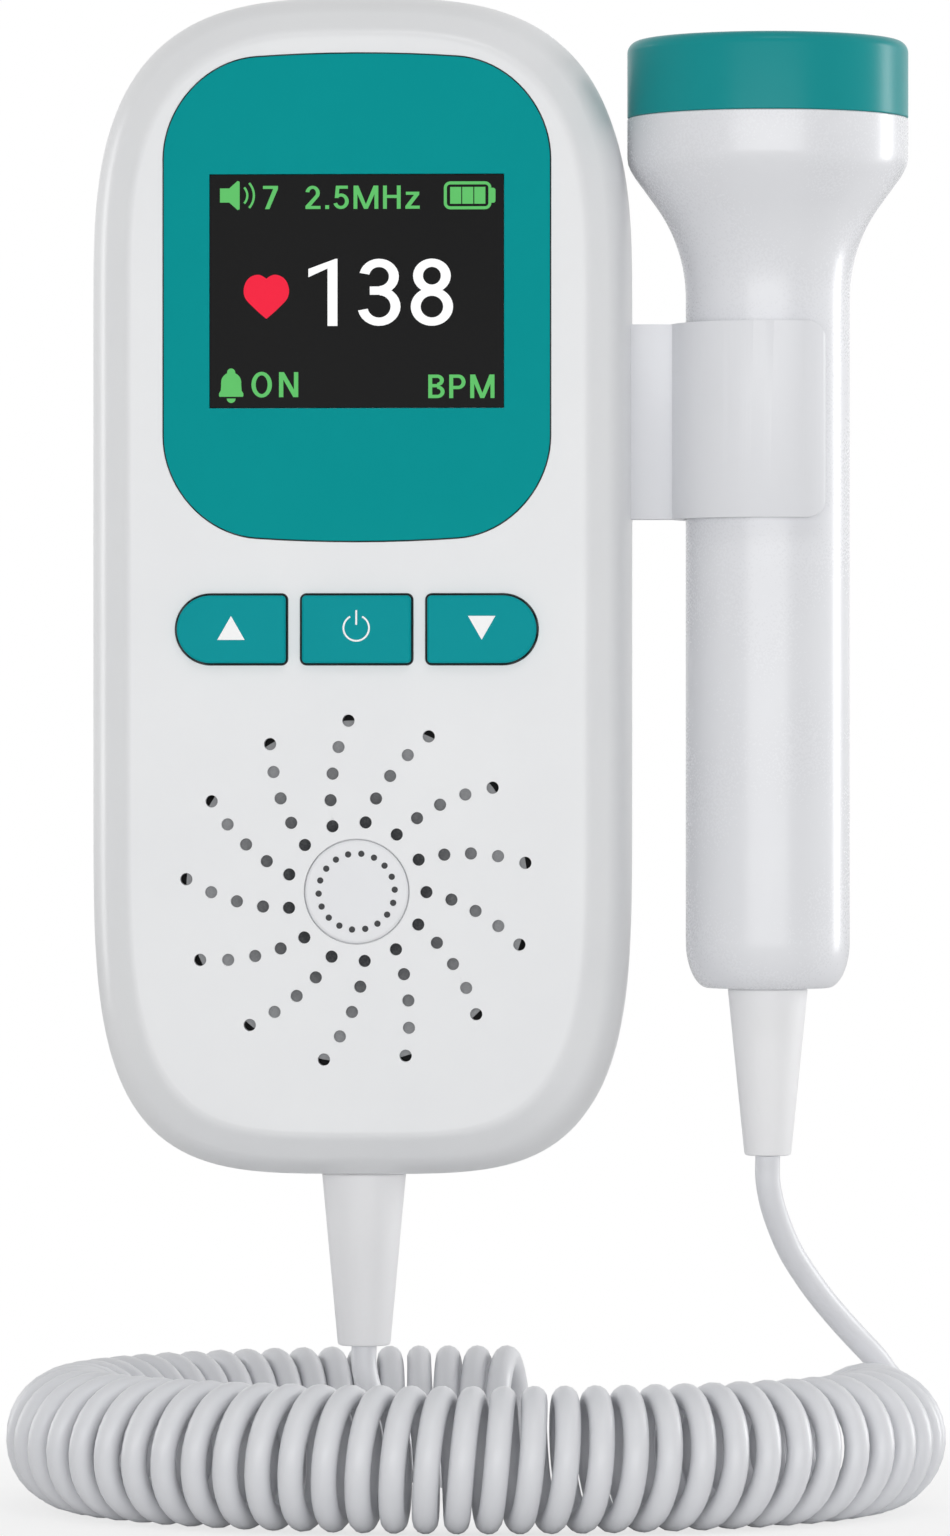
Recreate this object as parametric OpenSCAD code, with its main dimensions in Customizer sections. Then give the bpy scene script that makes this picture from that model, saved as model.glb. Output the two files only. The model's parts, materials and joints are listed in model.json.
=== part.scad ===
// Hand-held fetal doppler monitor: a display unit, an ultrasound probe in its side clip,
// and a curly cord that joins the two and lies in a ring below them.
// Housing pieces are drawn lying on their back (x across, y up the face, z out of the face)
// and are stood upright; the probe and the cord are drawn in the standing frame, +Z up.

/* [Housing] */
// Width of the housing
body_w = 61.5; // [60:0.5:66]
// Length of the housing, top to bottom
body_l = 134.5; // [134:0.5:145]
// Thickness of the housing, back to front
body_t = 31; // [30:0.5:34]
// Length of the rounding at the top corners
top_corner_l = 35.5; // [32:0.5:37]
// Length of the rounding at the bottom corners
bottom_corner_l = 44; // [42:0.5:46]
// How square the top corners are (2 is an ellipse)
top_power = 3.1; // [2.9:0.1:3.6]
// How square the bottom corners are (2 is an ellipse)
bottom_power = 3.9; // [3.7:0.1:4.2]
// How far the front and back edges round inwards
edge_inset = 7; // [4:0.25:7]
// How deep the front and back edges round
edge_depth = 11; // [9:0.5:12]
// Wall thickness of the housing
wall = 2; // [1.8:0.1:2.4]

/* [Fascia and display] */
// Width of the coloured fascia
fascia_w = 43.9; // [42:0.1:44.4]
// Length of the coloured fascia
fascia_l = 55.3; // [52:0.1:56]
// Corner radius of the fascia
fascia_r = 10.5; // [9:0.1:12]
// How far the fascia's ends bow out at their middle
fascia_bow = 1.4; // [0.6:0.1:1.8]
// Thickness of the fascia
fascia_t = 0.95; // [0.8:0.05:1.2]
// Depth of the fascia's recess
fascia_recess = 0.8; // [0.6:0.05:1]
// Height of the fascia's middle above the housing's middle
fascia_y = 32.5; // [32.3:0.1:33]
// Height of the display window's middle above the fascia's middle
window_rise = 0.7; // [0:0.1:1]
// Width of the display window
window_w = 33.3; // [30:0.1:33.8]
// Height of the display window
window_h = 26.4; // [22:0.1:26.8]
// Thickness of the display window
window_t = 0.9; // [0.7:0.05:1.1]
// Ledge that the window rests on
window_ledge = 1.2; // [0.8:0.1:2]
// Thickness of the display module
lcd_t = 3.5; // [2.5:0.1:4]
// Rim of the display module round the window
lcd_rim = 1.6; // [1:0.1:1.8]
// Thickness of the circuit board
board_t = 1.6; // [1:0.1:2]
// Half the width of the circuit board
board_half_w = 20.5; // [19:0.5:21]

/* [Buttons] */
// Width of a button
key_w = 12.6; // [11:0.1:12.8]
// Height of a button
key_h = 7.9; // [6:0.1:8.2]
// Spacing of the buttons
key_pitch = 14.2; // [14.2:0.1:14.8]
// Drop of the buttons below the housing's middle
key_drop = 5.1; // [4.8:0.1:5.2]
// How far a button stands proud
key_proud = 0.9; // [0.6:0.1:1.4]
// Travel of a button
key_travel = 0.7; // [0.4:0.1:0.8]
// Corner radius of a button
key_corner = 0.6; // [0.3:0.1:1]
// Gap round a button
key_gap = 0.15; // [0.1:0.05:0.25]

/* [Speaker and grille] */
// Drop of the speaker below the housing's middle
speaker_drop = 34.8; // [34.7:0.1:35.4]
// Outer radius of the speaker
speaker_r = 21.5; // [21.3:0.1:21.6]
// Spiral arms in the grille
arms = 13; // [9:1:13]
// Holes along an arm
arm_holes = 5; // [3:1:5]
// Radius of the innermost ring of holes
arm_start_r = 7.9; // [7.8:0.1:8.2]
// Step outwards from hole to hole
arm_step_r = 2.87; // [2.6:0.01:2.9]
// Turn from hole to hole, in degrees
arm_step_deg = 4.4; // [2:0.1:8]
// Radius of a grille hole
hole_r = 0.7; // [0.5:0.05:0.8]
// Radius of the badge in the grille
badge_r = 5.9; // [5.5:0.1:6.4]
// Dots round the badge
badge_dots = 22; // [12:1:24]

/* [Battery] */
// Radius of a cell
cell_r = 7.1; // [6.8:0.1:7.2]
// Length of a cell
cell_l = 50.5; // [48:0.5:50.5]
// Room for a contact at each end of the cells
contact_room = 2.75; // [2:0.05:3]
// Height of the battery's middle, below the housing's middle
battery_drop = 26.5; // [26:0.5:27]
// Wall of the battery tray
tray_wall = 1.2; // [1:0.1:1.5]
// Thickness of the battery cover
cover_t = 1.2; // [1:0.1:1.4]

/* [Probe] */
// Space between the housing's side and the probe's handle
probe_space = 6.25; // [5.85:0.1:8.05]
// Height of the probe's axis above the back face
probe_z = 16.6; // [16.4:0.1:17]
// Radius of the probe's handle
handle_r = 9.4; // [9:0.1:9.6]
// Radius of the probe's head
head_r = 16.1; // [15.6:0.1:16.2]
// Wall of the probe
probe_wall = 1.5; // [1.3:0.1:1.8]
// Top of the handle, above the housing's middle
neck_y = 33; // [33:0.5:36]
// Length of the neck's curve
neck_l = 10.6; // [9:0.2:12]
// Bottom of the probe, below the housing's middle
probe_bottom = 46; // [44:0.5:48]
// Height of the white band under the cap
head_band = 5.5; // [4:0.1:7]
// Height of the coloured cap
cap_h = 8.9; // [7:0.1:10]

/* [Clip] */
// Bottom of the clip, above the housing's middle
clip_y = 7.7; // [5:0.1:8.2]
// Length of the clip along the probe
clip_l = 22.8; // [18:0.2:23]
// Wall of the clip
clip_wall = 1.5; // [1.2:0.1:1.8]
// Half of the clip's mouth, in degrees
clip_mouth = 55; // [50:1:65]
// Thickness of the web that joins the clip to the housing
web_t = 4; // [3:0.5:5]

/* [Cord] */
// Diameter of the cord
cord_d = 2.6; // [2.2:0.1:2.6]
// Outer diameter of the curls
curl_d = 16.5; // [15:0.5:16.5]
// Number of curls
curls = 54; // [44:1:54]
// Half the width of the ring that the curls lie in, at their middle
ring_half_w = 45.8; // [45.8:0.2:50]
// Half the depth of the ring, front to back
ring_half_d = 34; // [34:0.5:40]
// Length of the housing's cord sleeve
monitor_sleeve_l = 19.9; // [16:0.1:20]
// Length of the probe's cord sleeve
probe_sleeve_l = 19.2; // [16:0.2:20]

/* [Hidden] */
$fn = 48;

white_plastic = "#f1f2f4";
teal_plastic = "#0f8f92";

// A sliver that makes cuts pass right through a face
eps = 0.01;
// Running gap between pieces that only lie against each other
gap = 0.1;
// Height on the housing, above its middle, of the spot on the back where it is held
hold_y = 30;
// Plane where the front and rear shells meet, and the middle of the cord's sleeve
part_z = body_t / 2;
// Underside of the front face
ceiling_z = body_t - wall;
// Height of the display's middle above the housing's middle
window_y = fascia_y + window_rise;
// Distance from the housing's middle to the probe's axis
probe_x = body_w / 2 + probe_space + handle_r;

// ---------- shared shapes ----------

// Stands a piece drawn on its back upright
module upright() {
  translate([0, 0, -hold_y]) rotate([90, 0, 0]) children();
}

// Places a revolved piece on the probe's axis; its z is then a height on the housing
module on_probe() {
  translate([probe_x, -probe_z, -hold_y]) children();
}

// One corner of the housing's outline, as [across, along] from 0 to 1
corner_steps = 14;
function corner(i, power) = [
  pow(cos(90 * i / corner_steps), 2 / power),
  pow(sin(90 * i / corner_steps), 2 / power)
];

// The housing's outline, drawn in by inset
function outline(inset) =
  let (
    a = body_w / 2 - inset,
    top = body_l / 2 - top_corner_l,
    bottom = -body_l / 2 + bottom_corner_l,
    up = top_corner_l - inset,
    down = bottom_corner_l - inset
  )
  concat(
    [for (i = [0:corner_steps]) let (c = corner(i, top_power)) [a * c[0], top + up * c[1]]],
    [for (i = [corner_steps - 1:-1:0]) let (c = corner(i, top_power)) [-a * c[0], top + up * c[1]]],
    [for (i = [0:corner_steps]) let (c = corner(i, bottom_power)) [-a * c[0], bottom - down * c[1]]],
    [for (i = [corner_steps - 1:-1:0]) let (c = corner(i, bottom_power)) [a * c[0], bottom - down * c[1]]]
  );

// Rounded edge as [height above the back face, inset], from the side towards the front
edge_steps = 6;
function edge(depth, first) = [
  for (i = [0:edge_steps])
    let (a = 90 * i / edge_steps)
      [body_t - edge_depth + depth * sin(a), first + edge_inset * (1 - cos(a))]
];

// The same rounded edge, towards the back
function back_edge(depth, first) = [
  for (e = edge(depth, first)) [body_t - e[0], e[1]]
];

// Solid through rings of points that have the same number of points
module skin(rings) {
  n = len(rings[0]);
  last = len(rings) - 1;
  points = [for (ring = rings) for (p = ring) p];
  sides = [
    for (j = [0:last - 1])
      for (i = [0:n - 1])
        let (k = (i + 1) % n)
          for (f = [[j * n + i, (j + 1) * n + i, (j + 1) * n + k],
                    [j * n + i, (j + 1) * n + k, j * n + k]]) f
  ];
  ends = [[for (i = [0:n - 1]) i], [for (i = [n - 1:-1:0]) last * n + i]];
  polyhedron(points = points, faces = concat(sides, ends), convexity = 6);
}

// Housing-shaped solid through [height, inset] pairs, given from back to front
module housing_solid(levels) {
  skin([for (l = levels) [for (p = outline(l[1])) [p[0], p[1], l[0]]]]);
}

// Rectangle with round corners, centred
module round_rect(w, h, r) {
  square([w - 2 * r, h], center = true);
  square([w, h - 2 * r], center = true);
  for (sx = [-1, 1])
    for (sy = [-1, 1])
      translate([sx * (w / 2 - r), sy * (h / 2 - r)]) circle(r);
}

// Flat piece with round corners, from its lowest height up
module round_plate(w, h, r, z, t) {
  translate([0, 0, z]) linear_extrude(t) round_rect(w, h, r);
}

function reversed(list) = [for (i = [len(list) - 1:-1:0]) list[i]];

// ---------- housing ----------

// Screws: [across, up] for the top pair and the bottom pair
screw_spots = [[12, 55.5], [20, -50]];
screw_shank_r = 1;
screw_head_r = 2.1;
screw_head_h = 1.6;
screw_seat_z = 9;
screw_l = 14;
front_boss_r = 2.8;
rear_boss_r = 2.9;

module at_screws() {
  for (s = screw_spots)
    for (side = [-1, 1])
      translate([side * s[0], s[1], 0]) children();
}

// Posts under the front face that carry the circuit board
board_top_z = ceiling_z - gap - lcd_t;
post_r = 1.4;
post_spots = [[17, 51.1], [17, 12]];

module at_posts() {
  for (s = post_spots)
    for (side = [-1, 1])
      translate([side * s[0], s[1], 0]) children();
}

// Cord sleeve: its neck sits in a round hole that is half in each shell
sleeve_neck_r = 3.8;

module sleeve_hole() {
  translate([0, -body_l / 2 + 2 * wall, part_z])
    rotate([90, 0, 0]) cylinder(r = sleeve_neck_r + gap, h = 4 * wall);
}

// Outline of a button: side is -1 for the left one, 0 for the middle and 1 for the right
module key_outline(side, grow) {
  w = key_w + 2 * grow;
  h = key_h + 2 * grow;
  if (side == 0) {
    round_rect(w, h, key_corner + grow);
  } else {
    // the outer end is a half circle, and the inner end has small corners
    translate([side * (w - h) / 2, 0]) circle(h / 2);
    intersection() {
      round_rect(w, h, key_corner + grow);
      translate([-side * h / 4, 0]) square([w - h / 2, h], center = true);
    }
  }
}

module at_key(side) {
  translate([side * key_pitch, -key_drop, 0]) children();
}

// Spots of the grille's holes, on spiral arms round the badge
arm_first_deg = 27.3;
grille_spots = [
  for (arm = [0:arms - 1])
    for (k = [0:arm_holes - 1])
      let (a = arm_first_deg + 360 * arm / arms - arm_step_deg * k, r = arm_start_r + arm_step_r * k)
        [r * cos(a), r * sin(a)]
];
badge_recess = 0.6;

module at_speaker() {
  translate([0, -speaker_drop, 0]) children();
}

// The fascia's outline: round corners, and ends that bow out
function fascia_outline(grow) =
  let (
    w = fascia_w / 2 + grow,
    l = fascia_l / 2 + grow,
    r = fascia_r + grow,
    steps = 8,
    corner = [for (i = [0:steps]) [w - r + r * cos(90 * i / steps), l - r + r * sin(90 * i / steps)]],
    end = [for (i = [1:steps - 1]) [(w - r) * (1 - 2 * i / steps), l]],
    far_corner = [for (i = [steps:-1:0]) [-corner[i][0], corner[i][1]]],
    upper = [for (p = concat(corner, end, far_corner)) [p[0], p[1] - fascia_bow * pow(p[0] / w, 2)]]
  )
  concat(upper, [for (p = upper) -p]);

// Recess that takes the fascia
module fascia_seat() {
  translate([0, fascia_y, body_t - fascia_recess]) linear_extrude(wall) polygon(fascia_outline(gap));
}

module front_face() {
  difference() {
    translate([0, 0, ceiling_z]) linear_extrude(wall) polygon(outline(edge_inset));
    fascia_seat();
    // the display's opening in the recess's floor
    translate([0, window_y, body_t / 2])
      linear_extrude(body_t)
        square([window_w - 2 * window_ledge, window_h - 2 * window_ledge], center = true);
    for (side = [-1, 0, 1])
      at_key(side) linear_extrude(2 * body_t) key_outline(side, key_gap);
    at_speaker() {
      translate([0, 0, body_t - badge_recess]) cylinder(r = badge_r + gap, h = wall);
      for (p = grille_spots)
        translate([p[0], p[1], ceiling_z - 1]) cylinder(r = hole_r, h = wall + 2);
    }
  }
}

module front_shell() {
  color(white_plastic) upright() {
    difference() {
      housing_solid(concat([[part_z, 0]], edge(edge_depth, 0)));
      housing_solid(concat([[part_z - 1, wall]], edge(edge_depth - wall, wall)));
      translate([0, 0, ceiling_z]) linear_extrude(2 * wall) polygon(outline(edge_inset));
      fascia_seat();
      sleeve_hole();
    }
    front_face();
    at_screws() difference() {
      translate([0, 0, part_z]) cylinder(r = front_boss_r, h = ceiling_z + wall / 4 - part_z);
      translate([0, 0, part_z - 1]) cylinder(r = screw_shank_r + gap / 2, h = screw_l - 3);
    }
    at_posts() translate([0, 0, board_top_z])
      cylinder(r = post_r, h = ceiling_z + wall / 4 - board_top_z);
  }
}

// Battery bay, centred on the cells
bay_w = 4 * cell_r + 1.8;
bay_l = cell_l + 2 * contact_room;
cell_pitch = 2 * cell_r + 0.6;
cell_z = wall + 0.3 + cell_r;
tray_floor_z = cell_z + cell_r + 0.3;
cover_lip = 2;
cover_corner = 1.5;

module at_battery() {
  translate([0, -battery_drop, 0]) children();
}

module rear_shell() {
  color(white_plastic) upright() {
    difference() {
      housing_solid(reversed(concat([[part_z, 0]], back_edge(edge_depth, 0))));
      housing_solid(reversed(concat([[part_z + 1, wall]], back_edge(edge_depth - wall, wall))));
      translate([0, 0, -wall]) linear_extrude(2 * wall) polygon(outline(edge_inset));
      sleeve_hole();
    }
    difference() {
      union() {
        linear_extrude(wall) polygon(outline(edge_inset));
        at_screws() translate([0, 0, wall / 2]) cylinder(r = rear_boss_r, h = part_z - wall / 2);
      }
      // the cover's recess, and the bay's mouth in its floor
      at_battery() {
        round_plate(bay_w + 2 * cover_lip + 4 * gap, bay_l + 2 * cover_lip + 4 * gap,
                    cover_corner + 2 * gap, -1, cover_t + 1);
        translate([0, 0, -1]) linear_extrude(wall + 2) square([bay_w, bay_l], center = true);
      }
      at_screws() {
        translate([0, 0, -1]) cylinder(r = screw_head_r + 2 * gap, h = screw_seat_z + 1);
        cylinder(r = screw_shank_r + 3 * gap, h = body_t);
      }
    }
  }
}

module case_screws() {
  color("silver") upright() at_screws() {
    translate([0, 0, screw_seat_z - screw_head_h]) difference() {
      cylinder(r = screw_head_r, h = screw_head_h);
      for (a = [0, 90])
        rotate(a) translate([0, 0, -eps]) cube([2.4, 0.6, 1.6], center = true);
    }
    translate([0, 0, screw_seat_z]) cylinder(r = screw_shank_r, h = screw_l);
  }
}

// ---------- fascia, display and board ----------

module fascia_panel() {
  color(teal_plastic) upright() translate([0, fascia_y, 0]) difference() {
    translate([0, 0, body_t - fascia_recess]) linear_extrude(fascia_t) polygon(fascia_outline(0));
    translate([0, window_rise, 0]) cube([window_w + gap, window_h + gap, 4 * body_t], center = true);
  }
}

module display_window() {
  color("#202124") upright()
    translate([-window_w / 2, window_y - window_h / 2, body_t - fascia_recess])
      cube([window_w, window_h, window_t]);
}

module lcd_module() {
  w = window_w + 2 * lcd_rim;
  h = window_h + 2 * lcd_rim;
  color("#3a3d42") upright() translate([0, window_y, board_top_z]) difference() {
    translate([-w / 2, -h / 2, 0]) cube([w, h, lcd_t]);
    // the glass lies a step below the metal frame
    translate([-window_w / 2 + 1, -window_h / 2 + 1, lcd_t - 0.4]) cube([window_w - 2, window_h - 2, 1]);
  }
}

// Tact switch: a square body with a round plunger
switch_w = 6;
switch_h = 1.2;
plunger_r = 1.75;
key_bottom_z = ceiling_z - 0.3 - 1;

module main_board() {
  top_y = 52.5;
  bottom_y = -11.5;
  // chips on the back of the board: [across, up, width, height, thickness]
  chips = [[-8, 34, 9, 9, 1.4], [9, 30, 7, 5, 1.2], [-11, 9, 5, 4, 1.5], [8, 6, 10, 10, 1.6]];
  color("#1f6b3a") upright() {
    translate([-board_half_w, bottom_y, board_top_z - board_t])
      cube([2 * board_half_w, top_y - bottom_y, board_t]);
    for (c = chips)
      translate([c[0] - c[2] / 2, c[1] - c[3] / 2, board_top_z - board_t - c[4]])
        cube([c[2], c[3], c[4] + board_t / 2]);
  }
}

module key_switches() {
  color("#2b2b2b") upright() for (side = [-1, 0, 1]) at_key(side) translate([0, 0, board_top_z]) {
    translate([-switch_w / 2, -switch_w / 2, 0]) cube([switch_w, switch_w, switch_h]);
    cylinder(r = plunger_r, h = key_bottom_z - key_travel - 0.05 - board_top_z);
  }
}

// A button's cap and the flange that keeps it behind the front face
module key(side) {
  flange = 0.55;
  color(teal_plastic) upright() at_key(side) translate([0, 0, key_bottom_z]) {
    linear_extrude(1) key_outline(side, flange);
    linear_extrude(body_t + key_proud - key_bottom_z) key_outline(side, 0);
  }
}

module volume_up_button() { key(-1); }
module power_button() { key(0); }
module volume_down_button() { key(1); }

// ---------- speaker ----------

gasket_t = 0.8;
flange_w = 1;
speaker_z = ceiling_z - gasket_t;
speaker_depth = 8;
magnet_r = 11;
magnet_h = 4;
basket_t = 0.6;
basket_w = 1.3;
coil_r = 6;
cone_t = 0.9;

module speaker_gasket() {
  color("#2a2a2a") upright() at_speaker() translate([0, 0, speaker_z]) difference() {
    cylinder(r = speaker_r, h = gasket_t);
    translate([0, 0, -1]) cylinder(r = speaker_r - flange_w, h = gasket_t + 2);
  }
}

// Magnet and basket in one
module speaker_frame() {
  r = speaker_r;
  lip_r = r - flange_w - basket_w;
  color("#6f7377") upright() at_speaker() translate([0, 0, speaker_z]) rotate_extrude()
    polygon([
      [0, -speaker_depth], [magnet_r, -speaker_depth], [magnet_r, -magnet_h - basket_t],
      [lip_r + basket_t, -1], [r, -1], [r, 0], [r - flange_w, 0], [lip_r, -basket_t],
      [magnet_r - 2 * basket_t, -magnet_h], [0, -magnet_h]
    ]);
}

// Cone with a rolled edge and a domed cap over the coil
module speaker_cone() {
  r = speaker_r - flange_w - 2 * gap;
  roll_w = 2 * basket_w;
  low = -magnet_h + gap;
  color("#33363a") upright() at_speaker() translate([0, 0, speaker_z]) rotate_extrude()
    polygon([
      [0, low], [coil_r, low], [r - roll_w, -basket_t + gap], [r - roll_w / 2, 0], [r - gap, 0],
      [r - gap, gap], [r - roll_w / 2, cone_t / 2], [r - roll_w - gap, gap],
      [coil_r + basket_t, low + cone_t], [coil_r * 0.75, low + 2 * cone_t],
      [coil_r * 0.4, low + 2.5 * cone_t], [0, low + 2.7 * cone_t]
    ]);
}

module grille_badge() {
  dot_ring_r = 4.6;
  color("#e6e7e9") upright() at_speaker() translate([0, 0, body_t - badge_recess]) difference() {
    rotate_extrude() polygon([
      [0, 0], [badge_r, 0], [badge_r, 0.7], [badge_r - 0.3, 0.85], [badge_r - 0.6, 0.7], [0, 0.7]
    ]);
    for (i = [0:badge_dots - 1])
      rotate(360 * i / badge_dots) translate([dot_ring_r, 0, 0.3]) cylinder(r = 0.3, h = 1);
  }
}

// ---------- battery ----------

module battery_tray() {
  w = bay_w + 2 * tray_wall;
  l = bay_l + 2 * tray_wall;
  color("#d9dadc") upright() at_battery() difference() {
    translate([-w / 2, -l / 2, wall + gap]) cube([w, l, tray_floor_z + tray_wall - wall - gap]);
    translate([-bay_w / 2, -bay_l / 2, wall - 1]) cube([bay_w, bay_l, tray_floor_z - wall + 1]);
    // finger notches in the side walls, and the opening for the wires
    translate([0, 0, tray_floor_z]) cylinder(r = 3, h = 3 * tray_wall, center = true);
  }
}

// The two cells lie side by side, head to tail
module battery_cells() {
  nub_r = 2.7;
  nub_h = 1.2;
  color("#8a8f2e") upright() at_battery() for (side = [-1, 1])
    translate([side * cell_pitch / 2, 0, cell_z]) rotate([side * 90, 0, 0])
      translate([0, 0, -cell_l / 2]) {
        cylinder(r = cell_r, h = cell_l - nub_h);
        cylinder(r = nub_r, h = cell_l);
      }
}

module battery_contacts() {
  plate_t = 0.4;
  plate_w = 10;
  foot_r = 3.5;
  tip_r = 2.2;
  color("silver") upright() at_battery()
    for (sx = [-1, 1]) for (end = [-1, 1])
      translate([sx * cell_pitch / 2, end * bay_l / 2, cell_z]) rotate([end * 90, 0, 0]) {
        translate([-plate_w / 2, -plate_w / 2, 0]) cube([plate_w, plate_w, plate_t]);
        cylinder(r1 = foot_r, r2 = tip_r, h = contact_room - gap / 2);
      }
}

module battery_cover() {
  groove_w = 1;
  groove_l = 12;
  plug = 2 * gap;
  color(white_plastic) upright() at_battery() difference() {
    union() {
      round_plate(bay_w + 2 * cover_lip, bay_l + 2 * cover_lip, cover_corner, 0, cover_t);
      linear_extrude(wall) square([bay_w - 2 * plug, bay_l - 2 * plug], center = true);
    }
    // grip grooves near the top edge
    for (i = [0:3])
      translate([-groove_l / 2, bay_l / 2 - 5 - 2.2 * i, -1]) cube([groove_l, groove_w, 1.5]);
  }
}

// ---------- probe ----------

// Neck: an arc of the handle's own width that flares into a cone up to the head
neck_turn = 36;
neck_arc_r = neck_l / sin(neck_turn);
neck_steps = 8;
cone_r = handle_r + neck_arc_r * (1 - cos(neck_turn));
cone_y = neck_y + neck_l;
shoulder_y = cone_y + (head_r - cone_r) / tan(neck_turn);
band_y = shoulder_y + head_band;
cap_top_y = band_y + cap_h;
butt_y = -probe_bottom;
butt_flat_r = 6.8;
butt_round = 5.4;
spigot_h = 2.8;
relief_hole_r = 3.2;

// The neck's curve at a distance from the outer surface, from the handle to the cone
function neck_curve(in) = [
  for (i = [0:neck_steps])
    let (a = neck_turn * i / neck_steps)
      [handle_r - in + (neck_arc_r + in) * (1 - cos(a)), neck_y + (neck_arc_r + in) * sin(a)]
];

// The butt's curve, from its flat end to the handle
function butt_curve(in) = [
  for (i = [0:6])
    let (a = 15 * i)
      [butt_flat_r - in + (handle_r - butt_flat_r) * sin(a),
       butt_y + in + butt_round * (1 - cos(a))]
];

module probe_shell() {
  w = probe_wall;
  spigot_r = head_r - w;
  outer = concat(
    [[relief_hole_r, butt_y]], butt_curve(0), neck_curve(0),
    [[head_r - 0.25, shoulder_y - 0.3], [head_r, shoulder_y + 0.4], [head_r, band_y],
     [spigot_r, band_y], [spigot_r, band_y + spigot_h]]
  );
  inner = concat(
    [[relief_hole_r, butt_y + w]], butt_curve(w), neck_curve(w),
    [[spigot_r - w, shoulder_y + w / 2], [spigot_r - w, band_y + spigot_h]]
  );
  color(white_plastic) on_probe() rotate_extrude() polygon(concat(outer, reversed(inner)));
}

face_r = head_r - 2.2;

module probe_cap() {
  round_r = 1.4;
  y0 = band_y + gap / 2;
  bore_r = head_r - probe_wall + gap;
  color(teal_plastic) on_probe() rotate_extrude() polygon(concat(
    [[bore_r, y0], [head_r, y0]],
    [for (i = [0:5]) let (a = 18 * i)
      [head_r - round_r * (1 - cos(a)), cap_top_y - round_r * (1 - sin(a))]],
    [[face_r + gap, cap_top_y], [face_r + gap, band_y + spigot_h + 2 * gap],
     [bore_r, band_y + spigot_h + 2 * gap]]
  ));
}

face_t = 2;

module probe_face() {
  y0 = cap_top_y - face_t - 0.4;
  color("#c9ccd0") on_probe() rotate_extrude() polygon([
    [0, y0], [face_r, y0], [face_r, y0 + face_t], [face_r * 0.6, y0 + face_t + 0.3], [0, y0 + face_t + 0.4]
  ]);
}

crystal_t = 1.2;
crystal_r = 11;

// Two half discs: one sends and one listens
module probe_crystals() {
  split = 0.8;
  color("#d8c79a") on_probe() translate([0, 0, cap_top_y - face_t - 0.4 - crystal_t])
    for (side = [-1, 1]) intersection() {
      cylinder(r = crystal_r, h = crystal_t);
      translate([side * (crystal_r / 2 + split / 2), 0, crystal_t / 2])
        cube([crystal_r, 2 * crystal_r, 2 * crystal_t], center = true);
    }
}

module probe_backing() {
  top = cap_top_y - face_t - 0.4 - crystal_t;
  color("#4a4d52") on_probe() translate([0, 0, shoulder_y + 2])
    cylinder(r = head_r - 2 * probe_wall - gap, h = top - shoulder_y - 2);
}

// Height of the board's lower end above the probe's butt
probe_board_rise = 10;

module probe_board() {
  half_w = handle_r - probe_wall - 3 * gap;
  low_y = butt_y + probe_board_rise;
  color("#1f6b3a") on_probe() translate([-half_w, -board_t / 2, low_y])
    cube([2 * half_w, board_t, neck_y - low_y]);
}

// ---------- clip ----------

clip_in_r = handle_r + 2 * gap;
clip_out_r = clip_in_r + clip_wall;

// The clip seen from above: a C that is open away from the housing, and its web
module clip_section() {
  lip_r = clip_wall / 2;
  reach = 2 * clip_out_r;
  translate([probe_x, -probe_z]) {
    difference() {
      union() {
        circle(clip_out_r);
        translate([body_w / 2 - probe_x, -web_t / 2])
          square([probe_x - body_w / 2 - clip_in_r, web_t]);
      }
      circle(clip_in_r);
      polygon([
        [0, 0], [reach * cos(clip_mouth), reach * sin(clip_mouth)], [reach * 2, 0],
        [reach * cos(clip_mouth), -reach * sin(clip_mouth)]
      ]);
    }
    for (side = [-1, 1])
      rotate(side * clip_mouth) translate([clip_in_r + lip_r, 0]) circle(lip_r);
  }
}

module probe_clip() {
  corner_r = 2.2;
  tip_x = probe_x + (clip_in_r + clip_wall / 2) * cos(clip_mouth) + clip_wall / 2;
  mid_z = clip_y - hold_y + clip_l / 2;
  // starts left of the housing's side so that only the free corners are round
  left_x = body_w / 2 - 3 * corner_r;
  color(white_plastic) intersection() {
    translate([0, 0, clip_y - hold_y]) linear_extrude(clip_l) clip_section();
    translate([(left_x + tip_x) / 2, body_t, mid_z]) rotate([90, 0, 0])
      linear_extrude(3 * body_t) round_rect(tip_x - left_x, clip_l, corner_r);
  }
}

// ---------- cord sleeves ----------

// Tapered sleeve that hangs from its flange: top is the wall's outer face
module cord_sleeve(top, length, wide_r, narrow_r, neck_r, neck_l) {
  rotate_extrude() polygon([
    [0, top - length], [narrow_r - 0.3, top - length], [narrow_r, top - length + 0.3],
    [wide_r, top], [neck_r, top], [neck_r, top + neck_l],
    [neck_r + 1.4, top + neck_l], [neck_r + 1.4, top + neck_l + 1.4], [0, top + neck_l + 1.4]
  ]);
}

monitor_sleeve_top_r = 4.85;
monitor_sleeve_tip_r = 3.05;
probe_sleeve_top_r = 4.6;
probe_sleeve_tip_r = 2.7;

module monitor_sleeve() {
  color(white_plastic) translate([0, -part_z, -hold_y])
    cord_sleeve(-body_l / 2 - gap / 2, monitor_sleeve_l - gap / 2, monitor_sleeve_top_r, monitor_sleeve_tip_r,
                sleeve_neck_r, wall + 2 * gap);
}

module probe_sleeve() {
  color(white_plastic) on_probe()
    cord_sleeve(butt_y - gap / 2, probe_sleeve_l - gap / 2, probe_sleeve_top_r, probe_sleeve_tip_r,
                relief_hole_r - gap, probe_wall + gap);
}

// ---------- cord ----------

// The surface that the ring of curls lies on
floor_z = -135.9;
// Middle of the ring
ring_mid = [12.8, -15.5, floor_z + curl_d / 2];
// Radius of the curls at the middle of the cord
curl_r = (curl_d - cord_d) / 2;
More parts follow.
